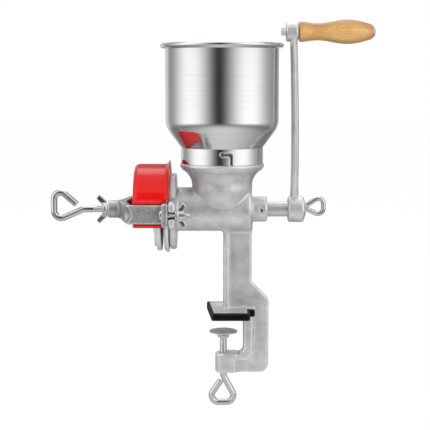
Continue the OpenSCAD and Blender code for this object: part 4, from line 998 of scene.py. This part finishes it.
adjustEye = {
    "tip": (-96.8, 0, axisZ), "neck": (-168.1, 0, axisZ), "eyeWay": (0, 0, 1),
    "length": 36.0, "low": 15.6, "high": 29.6, "bend": 8.9, "aim": (0.24, 0.2), "tail": 0.76,
    "r": 4.0, "shank": 4.0, "pitch": 1.25, "threaded": 60.0,
}
clampEye = {
    "tip": (1.6, 0, -24.6), "neck": (1.6, 0, -76), "eyeWay": (-1, 0, 0),
    "length": 34.0, "low": 18.1, "high": 21.7, "bend": 8.5, "aim": (0.24, 0.2), "tail": 0.8,
    "r": 4.0, "shank": 4.5, "pitch": 1.5, "threaded": 45.0,
}
crankEye = {
    "tip": (79.6, 0, axisZ), "neck": (103, 0, axisZ), "eyeWay": (0, 0, 1),
    "length": 20.0, "low": 9.6, "high": 18.0, "bend": 6.8, "aim": (0.08, 0.34), "tail": 0.88,
    "r": 3.0, "shank": 3.0, "pitch": 1.0, "threaded": 17.0,
}
addEyeScrew("adjustingScrew", "adjusting_eye_screw", "adjusting_screw", adjustEye)
addEyeScrew("clampScrew", "clamp_eye_screw", "clamp_screw", clampEye)
addEyeScrew("crankScrew", "crank_eye_screw", "crank_screw", crankEye)
print("eye screws done")


# Bolts, washers, nut, disc and handle, all turned from a profile

def addTurned(name, profile, axis, origin, body, node, slotName, materialName=None, loop=False, steps=64):
    addPiece(name, [lathe(profile, steps, axis, origin, loop)], body, node, slotName, materialName, 35)


def washerRing(hole, r, thick, rounds):
    return softCorners([(hole, 0), (r, 0), (r, thick), (hole, thick)], rounds, 4, loop=True)


yokeBolt = {
    "headX": -70.6, "headR": 5.2, "headT": 2.4, "r": 3.2, "pitch": 1.0, "threadIn": 10.0, "endX": -38.7,
    "washerX": -55.0, "washerR": 7.0, "washerHole": 3.45, "washerT": 1.6,
}
b = yokeBolt
head = softCorners([(0, -b["headT"]), (b["headR"], -b["headT"]), (b["headR"], 0), (0, 0)], [0, 1.0, 0.3, 0])
boltThread = threadRadius(b["r"], b["pitch"], b["threadIn"], 40.0)
# a yoke bolt is a turned head on a shank that is threaded wire
for side, boltY in sides.items():
    shank = evenly([(b["headX"] - 0.9, boltY, axisZ), (b["endX"], boltY, axisZ)], 0.25)
    parts = [lathe(head, 48, "x", (b["headX"], boltY, axisZ)), wirePoints(shank, boltThread, (0, 1, 0))]
    addPiece(side + "YokeBolt", parts, "frame", side + "_yoke_bolt", "plated_steel", sharpAngle=70)
boltWasher = washerRing(b["washerHole"], b["washerR"], b["washerT"], [0.3, 0.5, 0.3, 0.2])
for side, boltY in sides.items():
    addTurned(side + "Washer", boltWasher, "x", (b["washerX"], boltY, axisZ),
              side + "_washer_body", side + "_washer", "plated_steel", loop=True)

handleZ = crankShape["topZ"]
grip = {
    "x": 91.9, "length": 87.1, "collar": 12.2, "waist": 10.1, "belly": 14.4, "end": 8.4, "waistAt": 21.0,
    "bellyAt": 57.0, "bore": 3.08, "washerR": 9.0, "washerT": 1.2,
}
gripWasher = washerRing(grip["bore"], grip["washerR"], grip["washerT"], [0.2, 0.5, 0.4, 0.2])
addTurned("handleWasher", gripWasher, "x", (crankShape["topEnd"], 0, handleZ),
          "crankshaft", "handle_washer", "plated_steel", "turned_steel", loop=True)
handleBolt = {"start": 70.5, "r": 3.0, "headX": 179.3, "headR": 7.0, "domeR": 11.2, "domeH": 3.5}
b = handleBolt
headArc = np.radians(np.linspace(52.5, 90, 10))
headDome = [(b["domeR"] * math.cos(a), b["domeH"] - b["domeR"] + b["domeR"] * math.sin(a)) for a in headArc]
shank = [(0, b["start"]), (b["r"] - 0.6, b["start"]), (b["r"], b["start"] + 0.6), (b["r"], b["headX"]),
         (b["headR"] - 0.3, b["headX"]), (b["headR"], b["headX"] + 0.3)]
bolt = shank + [(min(r, b["headR"]), a + b["headX"]) for r, a in headDome]
addTurned("handleBolt", bolt, "x", (0, 0, handleZ), "crankshaft", "handle_bolt", "plated_steel")


# Wooden handle: collar, waist, belly and end joined by cosines, as radius over length
def gripProfile():
    g = grip
    a = np.linspace(0, g["length"], 90)

    def ease(start, end):
        return (1 - np.cos(math.pi * np.clip((a - start) / (end - start), 0, 1))) / 2
    first = g["collar"] + (g["waist"] - g["collar"]) * ease(0, g["waistAt"])
    second = g["waist"] + (g["belly"] - g["waist"]) * ease(g["waistAt"], g["bellyAt"])
    share = np.clip((a - g["bellyAt"]) / (g["length"] - g["bellyAt"]), 0, 1)
    third = g["belly"] - (g["belly"] - g["end"]) * (1 - np.cos(math.pi / 2 * share))
    r = np.where(a < g["waistAt"], first, np.where(a < g["bellyAt"], second, third))
    start = softCorners([(g["bore"], 0), (r[0], 0), (r[3], a[3])], [0, 1.6, 0])
    end = softCorners([(r[-4], a[-4]), (r[-1], a[-1]), (g["bore"], a[-1])], [0, 1.6, 0])
    return np.concatenate([start[:-1], np.stack([r, a], 1)[3:-3], end[1:]])


addTurned("woodenHandle", gripProfile(), "x", (grip["x"], 0, handleZ),
          "grip", "wooden_handle", "handle_wood", loop=True, steps=96)

# Handle nut: six sides about its own axis a, with the corners turned off at both ends
nutShape = {"x": 70.5, "half": 4.5, "height": 5.5, "hole": 3.05, "cornerR": 5.0}


def nutField(a, b, c):
    n = nutShape
    radial = reachOf(b, c)
    solid = np.abs(a - n["height"] / 2) - n["height"] / 2
    for turned in (0, 60, 120):
        across = np.abs(c * math.cos(math.radians(turned)) + b * math.sin(math.radians(turned)))
        solid = np.maximum(solid, across - n["half"])
    solid = blendMax(solid, (radial - n["cornerR"] + (a - n["height"]) * 1.6 + 0.4) * 0.53, 0.3)
    solid = blendMax(solid, (radial - n["cornerR"] - a * 1.6 + 0.2) * 0.53, 0.3)
    return blendMax(solid, n["hole"] - radial, 0.4)


points, faces = skinOf(nutField, (-0.9, -6.1, -6.1), (6.4, 6.1, 6.1), 0.28)
points = points + [nutShape["x"], 0, handleZ]
addPiece("handleNut", [(points, faces)], "crankshaft", "handle_nut", "plated_steel",
         sharpAngle=28, mend=False)

# Swivel pad: shallow saucer with a riveted hub, turned about the clamp screw
padProfile = softCorners(
    [(0, -19.9), (3, -19.9), (4.5, -20.3), (16.4, -19.5), (17.5, -19.9), (17.4, -21.2), (10.5, -23.4),
     (7.6, -25), (6.4, -28), (4.55, -28), (4.55, -24), (0, -24)],
    [0, 1, 1, 1, 0.5, 0.5, 2, 1.5, 1, 0.4, 0.4, 0])
addTurned("swivelPad", padProfile, "z", (casting["clampX"], 0, 0), "clamp_pad", "clamp_disc",
          "plated_steel", "dullPlate")
print("turned pieces done")


# CAD nodes that stay get the finish of their slot

kept = {
    "bayonet_pins": "plated_steel", "drive_shaft": "turned_steel", "feed_auger": "tinned_iron",
    "plate_carrier": "tinned_iron", "carrier_pin": "turned_steel", "turning_plate": "plate_iron",
    "fixed_plate": "plate_iron", "thrust_ball": "turned_steel",
}
for nodeName, keptSlot in kept.items():
    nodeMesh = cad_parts[nodeName].data
    nodeMesh.materials.clear()
    nodeMesh.materials.append(materials[keptSlot])
print("kept nodes painted")


# Studio: floor, surround that the metal reflects, soft lamps, white background

def stageMaterial(name, build):
    material = bpy.data.materials.new(name)
    material.use_nodes = True
    tree = material.node_tree
    tree.nodes.clear()
    addNode(tree, "OutputMaterial", {"Surface": build(tree)})
    return material


def seenDirectly(tree):
    path = addNode(tree, "LightPath", {})
    seen = mathNode(tree, "ADD", path["Is Camera Ray"], path["Is Glossy Ray"])
    return mathNode(tree, "MINIMUM", mathNode(tree, "ADD", seen, path["Is Transmission Ray"]), 1.0)


# height and half width in metres, then its grey, and a glow that takes a share where it is seen
floor = {"z": -0.16, "half": 12, "grey": 0.86, "glow": 1.03, "share": 0.95}


def floorSurface(tree):
    f = floor
    paint = addNode(tree, "BsdfDiffuse", {"Color": (f["grey"],) * 3})[0]
    glow = addNode(tree, "Emission", {"Strength": f["glow"]})[0]
    share = mathNode(tree, "MULTIPLY", seenDirectly(tree), f["share"])
    return addNode(tree, "MixShader", {0: share, 1: paint, 2: glow})[0]


floorMesh = bpy.data.meshes.new("floor")
floorCorners = [(a * floor["half"], b * floor["half"]) for a, b in ((-1, -1), (1, -1), (1, 1), (-1, 1))]
floorMesh.from_pydata([(x, y, floor["z"]) for x, y in floorCorners], [], [(0, 1, 2, 3)])
floorMesh.materials.append(stageMaterial("paleFloor", floorSurface))
addObject("floor", floorMesh)

# Studio that only reflections see: a wall with light boxes and a dark card behind the camera, and a
# ground. The wall's tone is the room's, less the card, plus each box, all as bell curves of the angle in
# degrees from straight in front of the mill; the ground fades outwards from a light middle
surround = {
    "radius": 3.0, "low": -0.13, "high": 3.4, "room": 0.46,
    "behind": (100, 145, 0.7),      # angles between which the room darkens, and what is left
    # middle, half width and strength of the light boxes and of the dark card
    "boxes": [(-67, 34, 0.93), (56, 34, 0.97), (-152, 14, 0.5), (178, 20, 0.6)],
    "card": (-7, 22, 0.97),
    "ground": (0.85, 0.2, 0.5, 0.3),    # tone in the middle and outside, distance of the change, place
    "meets": (0.8, 1.7),                # distances between which the ground takes up the wall's tone
}


def studioTone(x, y):
    s = surround
    angle = np.degrees(np.arctan2(x, -y))
    card = s["card"]
    start, end, left = s["behind"]
    fade = np.clip((np.abs(angle) - start) / (end - start), 0, 1)
    wall = s["room"] * (1 - card[2] * np.exp(-((angle - card[0]) / card[1]) ** 2)) * (1 - (1 - left) * fade)
    for middle, width, strength in s["boxes"]:
        wall = wall + strength * np.exp(-np.abs((angle - middle) / width) ** 2.5)
    middle, outside, far, ahead = s["ground"]
    r = reachOf(x, y)
    ground = outside + (middle - outside) * np.exp(-(x * x + (y + ahead) ** 2) / far ** 2)
    near, distant = s["meets"]
    share = np.clip((r - near) / (distant - near), 0, 1)
    return ground * (1 - share) + wall * share


def surroundSurface(tree):
    tone = addNode(tree, "Attribute", {}, attribute_name="tone")["Fac"]
    return addNode(tree, "Emission", {"Strength": tone})[0]


def buildSurround():
    s = surround
    angle = np.radians(np.linspace(-180, 180, 241)[:-1])[None]
    r = np.array([0.001, 0.15, 0.3, 0.45, 0.6, 0.8, 1.1, 1.6, 2.2, s["radius"], s["radius"]])[:, None]
    z = np.array([s["low"]] * 10 + [s["high"]])[:, None] + 0 * angle
    x, y = r * np.sin(angle), -r * np.cos(angle)
    mesh = bpy.data.meshes.new("studioWall")
    spots = np.stack([x, y, z], -1).reshape(-1, 3)
    mesh.from_pydata(spots.tolist(), [], gridFaces(11, 240, wrapColumns=True).tolist())
    layer = mesh.attributes.new("tone", "FLOAT", "POINT")
    layer.data.foreach_set("value", studioTone(x, y).ravel().astype(np.float32))
    mesh.materials.append(stageMaterial("studioWall", surroundSurface))
    wall = addObject("studioWall", mesh)
    wall.visible_camera = wall.visible_diffuse = wall.visible_shadow = wall.visible_transmission = False


buildSurround()

aimAt = Vector((-0.02, 0, 0.1))
lamps = {
    "left": {"place": (-1.5, -1.5, 0.8), "size": (1.1, 1.4), "power": 34.0},
    "right": {"place": (1.4, -1.7, 0.7), "size": (1.1, 1.4), "power": 33.0},
    "top": {"place": (0.0, 0.95, 2.0), "size": (1.5, 0.9), "power": 9.0},
}
for lampName, lamp in lamps.items():
    light = bpy.data.lights.new(lampName, "AREA")
    light.shape = "RECTANGLE"
    light.size, light.size_y = lamp["size"]
    light.energy = lamp["power"]
    holder = addObject(lampName, light)
    holder.location = lamp["place"]
    holder.rotation_euler = (aimAt - Vector(lamp["place"])).to_track_quat("-Z", "Y").to_euler()
    holder.visible_glossy = lampName == "top"

world = bpy.data.worlds.new("studio")
scene.world = world
world.use_nodes = True
worldTree = world.node_tree
shine = worldTree.nodes["Background"]
shine.inputs["Color"].default_value = (1, 1, 1, 1)
feed(worldTree, remap(worldTree, seenDirectly(worldTree), 0, 1, 0.3, 1.0), shine.inputs["Strength"])
scene.view_settings.view_transform = "Standard"
print("studio lit")
